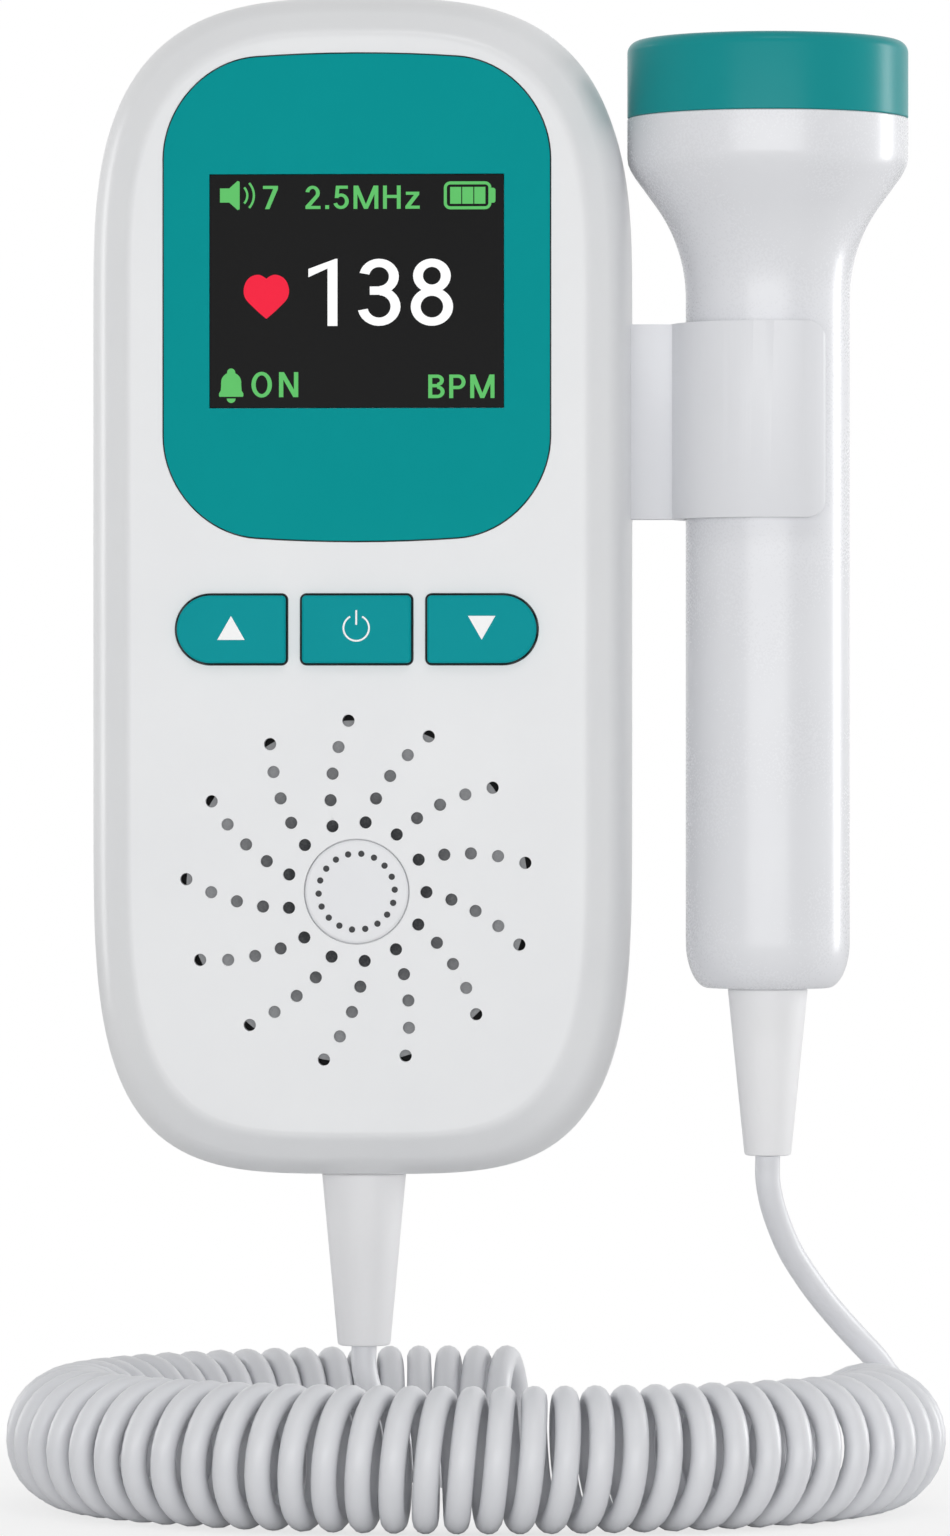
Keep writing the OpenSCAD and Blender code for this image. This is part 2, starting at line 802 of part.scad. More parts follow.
// Where the ring starts, below the probe, and how far it goes round, clockwise from above
ring_start = 15;
ring_sweep = 290;
rings_per_curl = 8;
// A curl starts this far round from its outer side and ends at its bottom
curl_start = 40;
curl_turns = curls + (curl_start + 90) / 360;

up_way = [0, 0, 1];
function outward(a) = unit([cos(a) / ring_half_w, sin(a) / ring_half_d, 0]);
function ring_point(a) = ring_mid + [ring_half_w * cos(a), ring_half_d * sin(a), 0];

// Distance along the ring's inner side, so that the curls lie evenly there
ring_steps = 145;
function step_angle(i) = ring_start - ring_sweep * i / ring_steps;
function inner_point(i) = ring_point(step_angle(i)) - curl_r * outward(step_angle(i));
inner_walk = [
  for (i = 0, s = 0; i <= ring_steps; i = i + 1, s = s + norm(inner_point(i) - inner_point(i - 1)))
    [s, step_angle(i)]
];
inner_length = inner_walk[ring_steps][0];

// Point of the curls after a number of turns
function curl_point(turn) =
  let (a = lookup(inner_length * turn / curl_turns, inner_walk), b = curl_start - 360 * turn)
    ring_point(a) + curl_r * (cos(b) * outward(a) + sin(b) * up_way);

// Directions in which the cord runs into and out of the curls
way_in = sin(curl_start) * outward(ring_start) - cos(curl_start) * up_way;
way_out = -outward(ring_start - ring_sweep);

curl_rings = round(curl_turns * rings_per_curl);
curl_path = concat(
  [curl_point(0) - cord_d * way_in],
  [for (i = [0:curl_rings]) curl_point(curl_turns * i / curl_rings)],
  [curl_point(curl_turns) + cord_d * way_out]
);

// Route of the lead from the housing's sleeve down to the surface and back to the curls
monitor_route = [
  [0, -15.5, -119.5], [0.5, -15.3, -122], [1.5, -14.5, -124.6], [3, -13.1, -127.1],
  [4.8, -11.1, -129.4], [6.8, -8.6, -131.4], [8.9, -5.6, -133], [10.9, -2.3, -134],
  [12.7, 1.2, -134.5], [14.2, 4.8, -134.6], [15.4, 8.4, -134.6], [16.2, 11.4, -134.6],
  [16.5, 13.6, -134.6]
];

// Route of the lead from the probe's sleeve to the curls
probe_route = [
  [46.4, -16.4, -98], [46.9, -15.6, -100.8], [47.8, -14.3, -103.6], [49, -12.8, -106.4],
  [50.6, -11.2, -109.1], [52.4, -9.8, -111.7], [54.4, -8.4, -114.2], [56.5, -7.2, -116.6],
  [58.6, -6.2, -118.9]
];

monitor_path = concat(
  [[0, -part_z, -hold_y - body_l / 2 - monitor_sleeve_l]], monitor_route,
  [curl_point(curl_turns) + cord_d * way_out]
);
probe_path = concat(
  [[probe_x, -probe_z, butt_y - hold_y - probe_sleeve_l]], probe_route,
  [curl_point(0) - cord_d * way_in]
);

function unit(v) = v / norm(v);
function along(path, i) = unit(path[min(i + 1, len(path) - 1)] - path[max(i - 1, 0)]);
function square_to(v, t) = unit(v - (v * t) * t);

// Side directions along a path, each carried on from the one before without twist
function carried(path, first) = [
  for (i = 0, n = square_to(first, along(path, 0)); i < len(path);
       i = i + 1, n = i < len(path) ? square_to(n, along(path, i)) : n) n
];

// Round tube through the points of a path; start_way and end_way square its ends
module tube(path, d, sides, start_way, end_way) {
  side_ways = carried(path, [0.3, 1, 0.2]);
  last = len(path) - 1;
  skin([
    for (i = [0:last])
      let (
        t = i == 0 ? start_way : i == last ? end_way : along(path, i),
        n = square_to(side_ways[i], t),
        b = cross(t, n)
      )
        [for (k = [0:sides - 1])
          path[i] + d / 2 * (cos(-360 * k / sides) * n + sin(-360 * k / sides) * b)]
  ]);
}

down = [0, 0, -1];

module monitor_lead() {
  color("#eceef0") tube(monitor_path, cord_d, 8, down, -way_out);
}

module curly_cord() {
  color("#eceef0") tube(curl_path, cord_d, 6, way_in, way_out);
}

module probe_lead() {
  color("#eceef0") tube(probe_path, cord_d, 8, down, way_in);
}

// Least gap between a curl and its neighbours, and the cord's whole length
function path_length(path) =
  let (steps = [for (i = [1:len(path) - 1]) norm(path[i] - path[i - 1])])
    steps * [for (s = steps) 1];
least_gap = min([
  for (i = [0:len(curl_path) - rings_per_curl - 2])
    for (j = [i + rings_per_curl - 2:min(i + rings_per_curl + 2, len(curl_path) - 1)])
      norm(curl_path[i] - curl_path[j])
]) - cord_d;
echo(least_gap_mm = least_gap);
echo(cord_length_mm = path_length(monitor_path) + path_length(curl_path) + path_length(probe_path));

front_shell();
rear_shell();
fascia_panel();
display_window();
lcd_module();
main_board();
key_switches();
volume_up_button();
power_button();
volume_down_button();
speaker_gasket();
speaker_frame();
speaker_cone();
grille_badge();
battery_tray();
battery_cells();
battery_contacts();
battery_cover();
case_screws();
probe_clip();
monitor_sleeve();
monitor_lead();
curly_cord();
probe_lead();
probe_sleeve();
probe_shell();
probe_cap();
probe_face();
probe_crystals();
probe_backing();
probe_board();
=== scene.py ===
"""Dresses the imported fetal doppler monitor: smooth mouldings, display, keys, probe and curly cord."""

import json
import math

import bmesh
import bpy
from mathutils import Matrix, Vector


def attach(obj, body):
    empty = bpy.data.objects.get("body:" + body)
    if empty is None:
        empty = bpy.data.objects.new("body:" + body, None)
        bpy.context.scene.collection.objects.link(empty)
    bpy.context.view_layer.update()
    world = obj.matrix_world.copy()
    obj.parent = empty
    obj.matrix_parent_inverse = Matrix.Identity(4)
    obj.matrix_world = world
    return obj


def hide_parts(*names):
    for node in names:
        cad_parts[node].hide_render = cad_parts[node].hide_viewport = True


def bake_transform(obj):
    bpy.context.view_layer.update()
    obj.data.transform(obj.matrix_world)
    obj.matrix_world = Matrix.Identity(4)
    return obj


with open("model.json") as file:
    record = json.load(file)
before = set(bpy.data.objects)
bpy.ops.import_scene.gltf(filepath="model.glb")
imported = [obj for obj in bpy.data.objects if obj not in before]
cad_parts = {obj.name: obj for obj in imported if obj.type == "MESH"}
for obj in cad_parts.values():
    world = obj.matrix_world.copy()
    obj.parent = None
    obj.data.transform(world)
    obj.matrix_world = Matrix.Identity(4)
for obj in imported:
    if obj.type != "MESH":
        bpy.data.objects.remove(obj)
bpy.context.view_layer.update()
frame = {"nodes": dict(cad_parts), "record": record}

MM = 0.001

# ---------------------------------------------------------------- sizes, in millimetres
# Housing pieces are drawn as seen on the face: x across, y up, z out of the face from the back.
HOLD_Y = 30.0
BODY_W, BODY_L, BODY_T = 61.5, 134.5, 31.0
TOP_CORNER, TOP_POWER, BOTTOM_CORNER, BOTTOM_POWER = 35.5, 3.1, 44.0, 3.9
EDGE_INSET, EDGE_DEPTH, WALL = 7.0, 11.0, 2.0
# the front's rim: degrees, width and height of its round part, then inset and drop of the soft crease
RIM_TURN, RIM_W, RIM_H, RIM_STEPS = 70.0, 3.65, 9.42, 18
RIM_CREASE = [(4.1, 0.55), (4.45, 0.27), (4.8, 0.1), (5.3, 0.0)]
PART_Z, PART_GROOVE = BODY_T / 2, 0.12
SLEEVE_HOLE_R = 3.9
GAP = 0.1
OVER = BODY_T + 2  # well clear of the face, where cuts start
# how far edges are eased
SHELL_EDGE, COVER_EDGE, FASCIA_EDGE, GLASS_EDGE = 0.1, 0.12, 0.07, 0.05
KEY_EDGE, FLANGE_EDGE, CLIP_EDGE = 0.3, 0.15, 0.22

FASCIA_W, FASCIA_L, FASCIA_R, FASCIA_T, FASCIA_Y, FASCIA_BOW = 43.9, 55.3, 10.5, 0.95, 32.5, 0.003
RECESS, FASCIA_SEAM = 0.8, 0.06
BOWED_PARTS, BOWED_FROM = 8, 5.0  # an edge longer than this is bowed in so many parts
WINDOW_W, WINDOW_H, WINDOW_T, WINDOW_Y = 33.3, 26.4, 0.9, 33.2
WINDOW_LEDGE = 1.2

KEY_W, KEY_H, KEY_PITCH, KEY_Y, KEY_PROUD = 12.6, 7.9, 14.2, -5.1, 0.9
KEY_CORNER, KEY_GAP, KEY_FLANGE, KEY_SEAM = 0.6, 0.15, 0.55, 0.12
KEY_FLANGE_T = 1.0
KEY_BOTTOM_Z = BODY_T - WALL - 1.3
# the dark strips round keys and fascia, painted shade for the shadow in their gaps: from and to below the
# face, and their clearance on each side
KEY_GAP_SHADE, FASCIA_GAP_SHADE, GAP_SHADE_CLEARANCE = (0.6, 0.1), (RECESS, 0.08), 0.01

SPEAKER_Y = -34.8
ARMS, ARM_HOLES, ARM_START_R, ARM_STEP_R, ARM_STEP_DEG, ARM_FIRST_DEG = 13, 5, 7.9, 2.87, 4.4, 27.3
HOLE_R, BADGE_R, BADGE_RECESS = 0.7, 5.9, 0.6
BADGE_DOTS, DOT_RING_R, DOT_R, DOT_FIRST_DEG = 18, 4.32, 0.36, 3.0
POCKET_R, CLOTH_R, CLOTH_HOLE_R, CLOTH_Z, CLOTH_T = 20.4, 19.4, 6.4, BODY_T - 0.95, 0.15
HOLE_DEPTH, POCKET_DEPTH, CLOTH_SLACK = 4.0, 3.0, 0.02

PROBE_X, PROBE_Z = 46.4, 16.6
HANDLE_R, HEAD_R, PROBE_WALL = 9.4, 16.1, 1.5
NECK_Y, NECK_L, NECK_TURN = 33.0, 10.6, 36.0
PROBE_BOTTOM, BUTT_FLAT_R, BUTT_ROUND = 46.0, 6.8, 5.4
HEAD_BAND, CAP_H, SPIGOT_H, FACE_T = 5.5, 8.9, 2.8, 2.0

CLIP_Y, CLIP_L, CLIP_WALL, CLIP_MOUTH, WEB_T, CLIP_CORNER = 7.7, 22.3, 1.5, 55.0, 4.0, 2.2

CORD_D, CURL_D, CURLS = 2.9, 16.5, 54
RING_HALF_W, RING_HALF_D = 45.8, 34.0
FLOOR_Z = -135.9
MONITOR_SLEEVE_L, PROBE_SLEEVE_L = 19.9, 19.2
MONITOR_SLEEVE_R, PROBE_SLEEVE_R = (4.85, 3.05, 3.8), (4.6, 2.7, 3.1)  # at its top, its end and in the wall

# ---------------------------------------------------------------- camera
PHOTO_HIGH_PX = 1536
PX_PER_MM = 8.7
CAMERA_AWAY = 1000.0
CAMERA_TURN = 2.4
AIM = (12.76, -PART_Z, -50.8)
SENSOR = 36.0
CAMERA_RANGE = (0.01, 20)


def make_camera():
    data = bpy.data.cameras.new("photo_camera")
    data.sensor_fit = "VERTICAL"
    data.sensor_height = SENSOR
    data.sensor_width = SENSOR
    data.lens = SENSOR * PX_PER_MM * CAMERA_AWAY / PHOTO_HIGH_PX
    data.clip_start, data.clip_end = CAMERA_RANGE
    camera = bpy.data.objects.new("photo_camera", data)
    turn = math.radians(CAMERA_TURN)
    camera.location = (Vector(AIM) + CAMERA_AWAY * Vector((math.sin(turn), -math.cos(turn), 0))) * MM
    camera.rotation_euler = (math.pi / 2, 0, turn)
    bpy.context.scene.collection.objects.link(camera)
    bpy.context.scene.camera = camera


make_camera()

# ---------------------------------------------------------------- mesh helpers

SHARP, TURNED_SHARP = 32, 28  # degrees between faces from which an edge stays sharp


def stood(x, y, z):
    """A point drawn on the face, as it stands in the frame."""
    return Vector((x, -z, y - HOLD_Y)) * MM


def beside(x, y, z):
    """A point already in the frame's own directions, in millimetres."""
    return Vector((x, y, z)) * MM


def make_piece(name, points, faces, sharp=SHARP):
    mesh = bpy.data.meshes.new(name)
    mesh.from_pydata(points, [], faces)
    tidy = bmesh.new()
    tidy.from_mesh(mesh)
    bmesh.ops.remove_doubles(tidy, verts=tidy.verts, dist=1e-7)
    bmesh.ops.recalc_face_normals(tidy, faces=tidy.faces)
    tidy.to_mesh(mesh)
    tidy.free()
    piece = bpy.data.objects.new(name, mesh)
    bpy.context.scene.collection.objects.link(piece)
    shade(piece, sharp)
    return piece


def shade(piece, sharp=SHARP):
    piece.data.shade_smooth()
    piece.data.set_sharp_from_angle(angle=math.radians(sharp))


def settle(piece):
    """Applies a piece's modifiers."""
    ready = piece.evaluated_get(bpy.context.evaluated_depsgraph_get())
    piece.data = bpy.data.meshes.new_from_object(ready)
    piece.modifiers.clear()


def round_edges(piece, width, steps=2, angle=40):
    """Small moulded radius along a piece's sharp edges."""
    bevel = piece.modifiers.new("radius", "BEVEL")
    bevel.width = width * MM
    bevel.segments = steps
    bevel.limit_method = "ANGLE"
    bevel.angle_limit = math.radians(angle)
    bevel.harden_normals = False
    settle(piece)
    shade(piece)


def carve(piece, cutter, operation="DIFFERENCE"):
    cut = piece.modifiers.new("cut", "BOOLEAN")
    cut.operation = operation
    cut.solver = "EXACT"
    cut.object = cutter
    settle(piece)
    old = cutter.data
    bpy.data.objects.remove(cutter)
    bpy.data.meshes.remove(old)


def even_normals(piece):
    """Lets the large flat faces rule the shading, as on a flat moulding with soft edges."""
    shade(piece)
    weigh = piece.modifiers.new("even", "WEIGHTED_NORMAL")
    weigh.mode = "FACE_AREA"
    weigh.weight = 90
    weigh.keep_sharp = True
    settle(piece)


def skinned(name, rings, sharp=SHARP):
    """Solid through rings with the same number of points."""
    count = len(rings[0])
    last = (len(rings) - 1) * count
    points = [p for ring in rings for p in ring]
    faces = [
        (j + i, j + (i + 1) % count, j + count + (i + 1) % count, j + count + i)
        for j in range(0, last, count)
        for i in range(count)
    ]
    faces.append(tuple(range(count - 1, -1, -1)))
    faces.append(tuple(range(last, last + count)))
    return make_piece(name, points, faces, sharp)


def prism(name, outline, low, high):
    return skinned(name, [[stood(x, y, z) for x, y in outline] for z in (low, high)])


def turned(name, profile, centre, steps=128):
    """Solid turned about an upright line; the profile is (radius, height above the housing's middle)."""
    x, y = centre
    points, faces = [], []
    count = len(profile)
    for k in range(steps):
        a = math.tau * k / steps
        points += [beside(x + r * math.cos(a), y + r * math.sin(a), h - HOLD_Y) for r, h in profile]
    for k in range(steps):
        for i in range(count):
            j, n = (i + 1) % count, (k + 1) % steps
            if profile[i][0] or profile[j][0]:
                faces.append((k * count + i, n * count + i, n * count + j, k * count + j))
    return make_piece(name, points, faces, TURNED_SHARP)


def arc(centre, radius, first, last, steps):
    cx, cy = centre
    turns = [math.radians(first + (last - first) / steps * k) for k in range(steps + 1)]
    return [(cx + radius * math.cos(a), cy + radius * math.sin(a)) for a in turns]


def disc(centre, radius, steps=40):
    return arc(centre, radius, 0, 360, steps)[:-1]


def bar(x0, y0, x1, y1):
    return [(x0, y0), (x1, y0), (x1, y1), (x0, y1)]


def round_rect(w, h, r, centre=(0, 0), steps=16):
    cx, cy = centre
    points = []
    for sx, sy, a in ((1, 1, 0), (-1, 1, 90), (-1, -1, 180), (1, -1, 270)):
        points += arc((cx + sx * (w / 2 - r), cy + sy * (h / 2 - r)), r, a, a + 90, steps)
    return points


def join_all(name, parts):
    """One piece made of several that don't touch."""
    points, faces = [], []
    for part in parts:
        start = len(points)
        points += [v.co.copy() for v in part.data.vertices]
        faces += [tuple(start + i for i in f.vertices) for f in part.data.polygons]
        old = part.data
        bpy.data.objects.remove(part)
        bpy.data.meshes.remove(old)
    return make_piece(name, points, faces)


# ---------------------------------------------------------------- finishes


class Wire:
    """One socket of a graph's nodes; a sum on it adds a Math node."""

    def __init__(self, graph, socket):
        self.graph, self.socket = graph, socket

    def worked(self, operation, a, b):
        return self.graph.add("ShaderNodeMath", {"operation": operation}, {0: a, 1: b})

    def __add__(self, other):
        return self.worked("ADD", self, other)

    def __sub__(self, other):
        return self.worked("SUBTRACT", self, other)

    def __mul__(self, other):
        return self.worked("MULTIPLY", self, other)

    def __rsub__(self, other):
        return self.worked("SUBTRACT", other, self)

    def larger(self, other):
        return self.worked("MAXIMUM", self, other)

    __radd__, __rmul__ = __add__, __mul__


def srgb(r, g, b):
    """Colour as seen on a screen, 0 to 255, as light."""
    shares = [c / 255 for c in (r, g, b)]
    return tuple(c / 12.92 if c < 0.0405 else ((c + 0.055) / 1.055) ** 2.4 for c in shares) + (1.0,)


def dimmed(colour, share):
    return tuple(share * c for c in colour[:3]) + (1,)


class Graph:
    """The nodes and links of a material or a world."""

    def __init__(self, tree):
        self.nodes, self.links = tree.nodes, tree.links

    def add(self, kind, settings=None, sockets=None, out=0):
        node = self.nodes.new(kind)
        for key, value in (settings or {}).items():
            setattr(node, key, value)
        for key, value in (sockets or {}).items():
            self.feed(node.inputs[key], value)
        return Wire(self, node.outputs[out] if node.outputs else None)

    def feed(self, socket, value):
        if isinstance(value, Wire):
            self.links.new(value.socket, socket)
        else:
            socket.default_value = value

    def distance(self, place, middle):
        return self.add("ShaderNodeVectorMath", {"operation": "DISTANCE"}, {0: place, 1: middle}, out=1)

    def ramp(self, value, near, far, first, last):
        ends = {"From Min": near, "From Max": far, "To Min": first, "To Max": last}
        return self.add("ShaderNodeMapRange", {}, {"Value": value, **ends})


class Finish(Graph):
    """A material that ends in one Principled surface."""

    def __init__(self, name, **constants):
        self.material = bpy.data.materials.new(name)
        self.material.use_nodes = True
        super().__init__(self.material.node_tree)
        self.surface = self.nodes["Principled BSDF"]
        self.set(**constants)

    def place(self):
        return self.add("ShaderNodeTexCoord", out=3)

    def noise(self, grain, detail):
        """Noise with grains of so many millimetres."""
        size = {"Scale": 1 / (grain * MM), "Detail": detail}
        return self.add("ShaderNodeTexNoise", {}, {"Vector": self.place(), **size})

    def mixed(self, share, first, second):
        return self.add("ShaderNodeMix", {"data_type": "RGBA"}, {0: share, 6: first, 7: second}, out=2)

    def bump(self, height, strength, distance):
        depth = {"Strength": strength, "Distance": distance * MM}
        return self.add("ShaderNodeBump", {}, {"Height": height, **depth})

    def set(self, **wires):
        for socket, value in wires.items():
            self.feed(self.surface.inputs[socket.replace("_", " ")], value)
        return self.material


def moulding(name, colour, shadow, roughness, grain=0.02, grain_size=0.25, swirl=14.0, **constants):
    """Moulded plastic: a faint flow mottle in colour and gloss and a fine tool texture."""
    finish = Finish(name, **constants)
    flow = finish.noise(swirl, 3.0)
    spark = finish.noise(grain_size, 1.0)
    return finish.set(
        Base_Color=finish.mixed(flow, srgb(*colour), srgb(*shadow)),
        Roughness=roughness + (flow - 0.5) * 0.08 + (spark - 0.5) * 0.05,
        Normal=finish.bump(spark, grain, grain_size * 0.2),
    )


def metal(name, colour, roughness):
    finish = Finish(name, Metallic=1.0)
    grain = finish.noise(0.4, 3.0)
    return finish.set(
        Base_Color=finish.mixed(grain, colour, dimmed(colour, 0.85)),
        Roughness=roughness + (grain - 0.5) * 0.15,
        Normal=finish.bump(grain, 0.1, 0.02),
    )


def circuit_board():
    finish = Finish("solder_mask", Coat_Weight=0.4, Coat_Roughness=0.15)
    pattern = {"distance": "MANHATTAN", "feature": "F1"}
    cells = finish.add("ShaderNodeTexVoronoi", pattern, {"Vector": finish.place(), "Scale": 1 / (2.4 * MM)})
    line = finish.add("ShaderNodeMath", {"operation": "GREATER_THAN"}, {0: cells, 1: 0.55})
    return finish.set(
        Base_Color=finish.mixed(line, srgb(28, 104, 62), srgb(46, 132, 82)),
        Roughness=0.42 - line * 0.1,
        Normal=finish.bump(line, 0.3, 0.03),
    )


# name: colour, deeper colour, roughness, then what differs from a plain moulding
PLASTICS = {
    "white_housing": ((238, 239, 240), (234, 235, 237), 0.34, {}),
    "white_probe": ((235, 236, 239), (231, 232, 236), 0.27, {}),
    "white_clip": ((234, 235, 238), (230, 231, 235), 0.36, {}),
    "white_sleeve": ((246, 246, 247), (242, 242, 244), 0.5, {"grain": 0.06}),
    "cord_white": ((232, 233, 236), (227, 228, 232), 0.36, {"swirl": 4.0}),
    "teal_fascia": ((9, 155, 157), (8, 152, 154), 0.45, {"swirl": 9.0, "Specular_IOR_Level": 0.02}),
    "teal_button": ((8, 156, 163), (7, 152, 159), 0.45, {"grain": 0.05, "Specular_IOR_Level": 0.05}),
    "teal_cap": ((18, 148, 150), (16, 144, 147), 0.3, {"Specular_IOR_Level": 0.14}),
    "display_black": (
        (25, 25, 25), (23, 23, 24), 0.2, {"grain": 0.0, "swirl": 30.0, "Specular_IOR_Level": 0.03},
    ),
    "switch_black": ((30, 30, 31), (24, 24, 25), 0.5, {"grain": 0.1}),
    "gasket_foam": ((34, 34, 35), (26, 26, 27), 0.85, {"grain": 0.5, "grain_size": 0.5}),
    "speaker_paper": ((58, 58, 60), (48, 48, 50), 0.8, {"grain": 0.3, "swirl": 2.0}),
    "badge_grey": ((237, 238, 240), (233, 234, 237), 0.36, {}),
    "tray_grey": ((214, 215, 217), (208, 209, 212), 0.5, {}),
    "cell_jacket": ((186, 176, 60), (172, 160, 52), 0.3, {"swirl": 20.0}),
    "face_grey": ((206, 208, 212), (200, 202, 207), 0.4, {"grain": 0.05}),
    "crystal_ceramic": ((216, 202, 160), (205, 190, 148), 0.5, {"grain": 0.1}),
    "backing_rubber": ((74, 75, 79), (62, 63, 66), 0.7, {"grain": 0.2}),
    "symbol_white": ((255, 255, 255), (252, 253, 253), 0.4, {"grain": 0.0, "swirl": 3.0}),
    "dot_black": ((52, 53, 56), (44, 45, 48), 0.6, {"swirl": 2.0}),
}
METALS = {
    "lcd_frame": (170, 172, 176, 0.35),
    "speaker_metal": (140, 142, 146, 0.4),
    "contact_steel": (200, 200, 198, 0.25),
    "screw_steel": (186, 188, 190, 0.3),
}
FINISHES = {name: moulding(name, *tones, **extras) for name, (*tones, extras) in PLASTICS.items()}
FINISHES.update((name, metal(name, srgb(*colour), rough)) for name, (*colour, rough) in METALS.items())
FINISHES["board_green"] = circuit_board()


def lit(name, colour):
    """A shape that the display lights."""
    finish = Finish(name, Roughness=0.4, Specular_IOR_Level=0.05, Emission_Strength=0.6)
    shown = finish.mixed(finish.noise(1.5, 1.0), colour, dimmed(colour, 0.97))
    return finish.set(Base_Color=finish.mixed(0.5, shown, (0, 0, 0, 1)), Emission_Color=shown)


LIT_GREEN = lit("lit_green", srgb(98, 194, 106))
LIT_WHITE = lit("lit_white", srgb(255, 255, 255))
LIT_RED = lit("lit_red", srgb(243, 38, 66))


def cloth():
    """Speaker cloth, darker towards the middle of the grille, with a fine weave."""
    finish = Finish("cloth_grey", Roughness=0.9, Specular_IOR_Level=0.1)
    away = finish.distance(finish.place(), tuple(stood(0, SPEAKER_Y, CLOTH_Z)))
    share = finish.ramp(away, 7.5 * MM, 17 * MM, 0.0, 1.0)
    weave = finish.noise(0.25, 1.0)
    return finish.set(
        Base_Color=finish.mixed(share + (weave - 0.5) * 0.3, srgb(66, 67, 69), srgb(158, 159, 161)),
        Normal=finish.bump(weave, 0.4, 0.05),
    )


CLOTH_GREY = cloth()


def dress(piece, body, slot, *nodes, finish=None):
    piece.data.materials.clear()
    piece.data.materials.append(finish or FINISHES[slot])
    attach(piece, body)
    if nodes:
        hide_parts(*nodes)
    return piece


# ---------------------------------------------------------------- cord

RING_MID = Vector((12.8, -15.5, FLOOR_Z + CURL_D / 2))
CURL_R = (CURL_D - CORD_D) / 2
RING_START, RING_SWEEP, CURL_START = 15.0, 290.0, 40.0
CURL_TURNS = CURLS + (CURL_START + 90) / 360
RING_STEPS = 145
POINTS_PER_CURL, CORD_SIDES = 32, 14
UP = Vector((0, 0, 1))

MONITOR_ROUTE = [
    (0, -15.5, -119.5), (0.5, -15.3, -122), (1.5, -14.5, -124.6), (3, -13.1, -127.1),
    (4.8, -11.1, -129.4), (6.8, -8.6, -131.4), (8.9, -5.6, -133), (10.9, -2.3, -134),
    (12.7, 1.2, -134.5), (14.2, 4.8, -134.6), (15.4, 8.4, -134.6), (16.2, 11.4, -134.6),
    (16.5, 13.6, -134.6),
]
PROBE_ROUTE = [
    (46.4, -16.4, -98), (46.9, -15.6, -100.8), (47.8, -14.3, -103.6), (49, -12.8, -106.4),
    (50.6, -11.2, -109.1), (52.4, -9.8, -111.7), (54.4, -8.4, -114.2), (56.5, -7.2, -116.6),
    (58.6, -6.2, -118.9),
]


def outward(a):
    return Vector((math.cos(a) / RING_HALF_W, math.sin(a) / RING_HALF_D, 0)).normalized()


def ring_point(a):
    return RING_MID + Vector((RING_HALF_W * math.cos(a), RING_HALF_D * math.sin(a), 0))


def inner_walk():
    """Distance along the ring's inner side against the angle round the ring."""
    walked, walk, before = 0.0, [], None
    for i in range(RING_STEPS + 1):
        a = math.radians(RING_START - RING_SWEEP * i / RING_STEPS)
        here = ring_point(a) - CURL_R * outward(a)
        walked += (here - before).length if before else 0
        walk.append((walked, a))
        before = here
    return walk


WALK = inner_walk()


def curl_point(turn):
    goal = WALK[-1][0] * turn / CURL_TURNS
    i = next((k for k in range(1, len(WALK)) if WALK[k][0] >= goal), len(WALK) - 1)
    (s0, a0), (s1, a1) = WALK[i - 1], WALK[i]
    a = a0 + (a1 - a0) * (goal - s0) / (s1 - s0)
    b = math.radians(CURL_START) - math.tau * turn
    return ring_point(a) + CURL_R * (math.cos(b) * outward(a) + math.sin(b) * UP)


def eased(route, steps=6):
    """A smooth line through a route's points."""
    line = []
    ends = [2 * route[0] - route[1]] + route + [2 * route[-1] - route[-2]]
    for p0, p1, p2, p3 in zip(ends, ends[1:], ends[2:], ends[3:]):
        for k in range(steps):
            t = k / steps
            line.append(
                0.5 * (2 * p1 + (p2 - p0) * t + (2 * p0 - 5 * p1 + 4 * p2 - p3) * t ** 2
                       + (3 * p1 - p0 - 3 * p2 + p3) * t ** 3)
            )
    return line + [route[-1]]


def cord_line():
    """The cord's middle line from the housing's sleeve through the curls to the probe's sleeve."""
    first, last = math.radians(RING_START), math.radians(RING_START - RING_SWEEP)
    start = math.radians(CURL_START)
    way_in = math.sin(start) * outward(first) - math.cos(start) * UP
    way_out = -outward(last)
    count = round(CURL_TURNS * POINTS_PER_CURL)
    curls = [curl_point(CURL_TURNS * i / count) for i in range(count, -1, -1)]
    monitor = [Vector((0, -PART_Z, -HOLD_Y - BODY_L / 2 - MONITOR_SLEEVE_L))]
    monitor += [Vector(p) for p in MONITOR_ROUTE] + [curls[0] + CORD_D * way_out, curls[0]]
    probe = [curls[-1], curls[-1] - CORD_D * way_in] + [Vector(p) for p in reversed(PROBE_ROUTE)]
    probe += [Vector((PROBE_X, -PROBE_Z, -PROBE_BOTTOM - HOLD_Y - PROBE_SLEEVE_L))]
    return eased(monitor)[:-1] + curls[:-1] + eased(probe)


def tube(name, line, radius, sides):
    """Round tube along a line, its side direction carried on without twist."""
    rings, side = [], Vector((1, 0, 0))
    for i, p in enumerate(line):
        t = (line[min(i + 1, len(line) - 1)] - line[max(i - 1, 0)]).normalized()
        side = (side - side.dot(t) * t).normalized()
        other = t.cross(side)
        turns = [math.tau * k / sides for k in range(sides)]
        rings.append([(p + radius * (math.cos(a) * side + math.sin(a) * other)) * MM for a in turns])
    return skinned(name, rings, sharp=60)


def make_cord():
    line = cord_line()
    length = sum((b - a).length for a, b in zip(line, line[1:]))
    cord = tube("cord", line, CORD_D / 2, CORD_SIDES)
    cord.data.materials.append(FINISHES["cord_white"])
    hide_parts("monitor_lead", "curly_cord", "probe_lead")
    tuple(line[0] * MM)
    [tuple(p * MM) for p in line]
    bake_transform(cord)


make_cord()

# ---------------------------------------------------------------- housing

QUARTER_STEPS, ROUND_STEPS = 36, 96


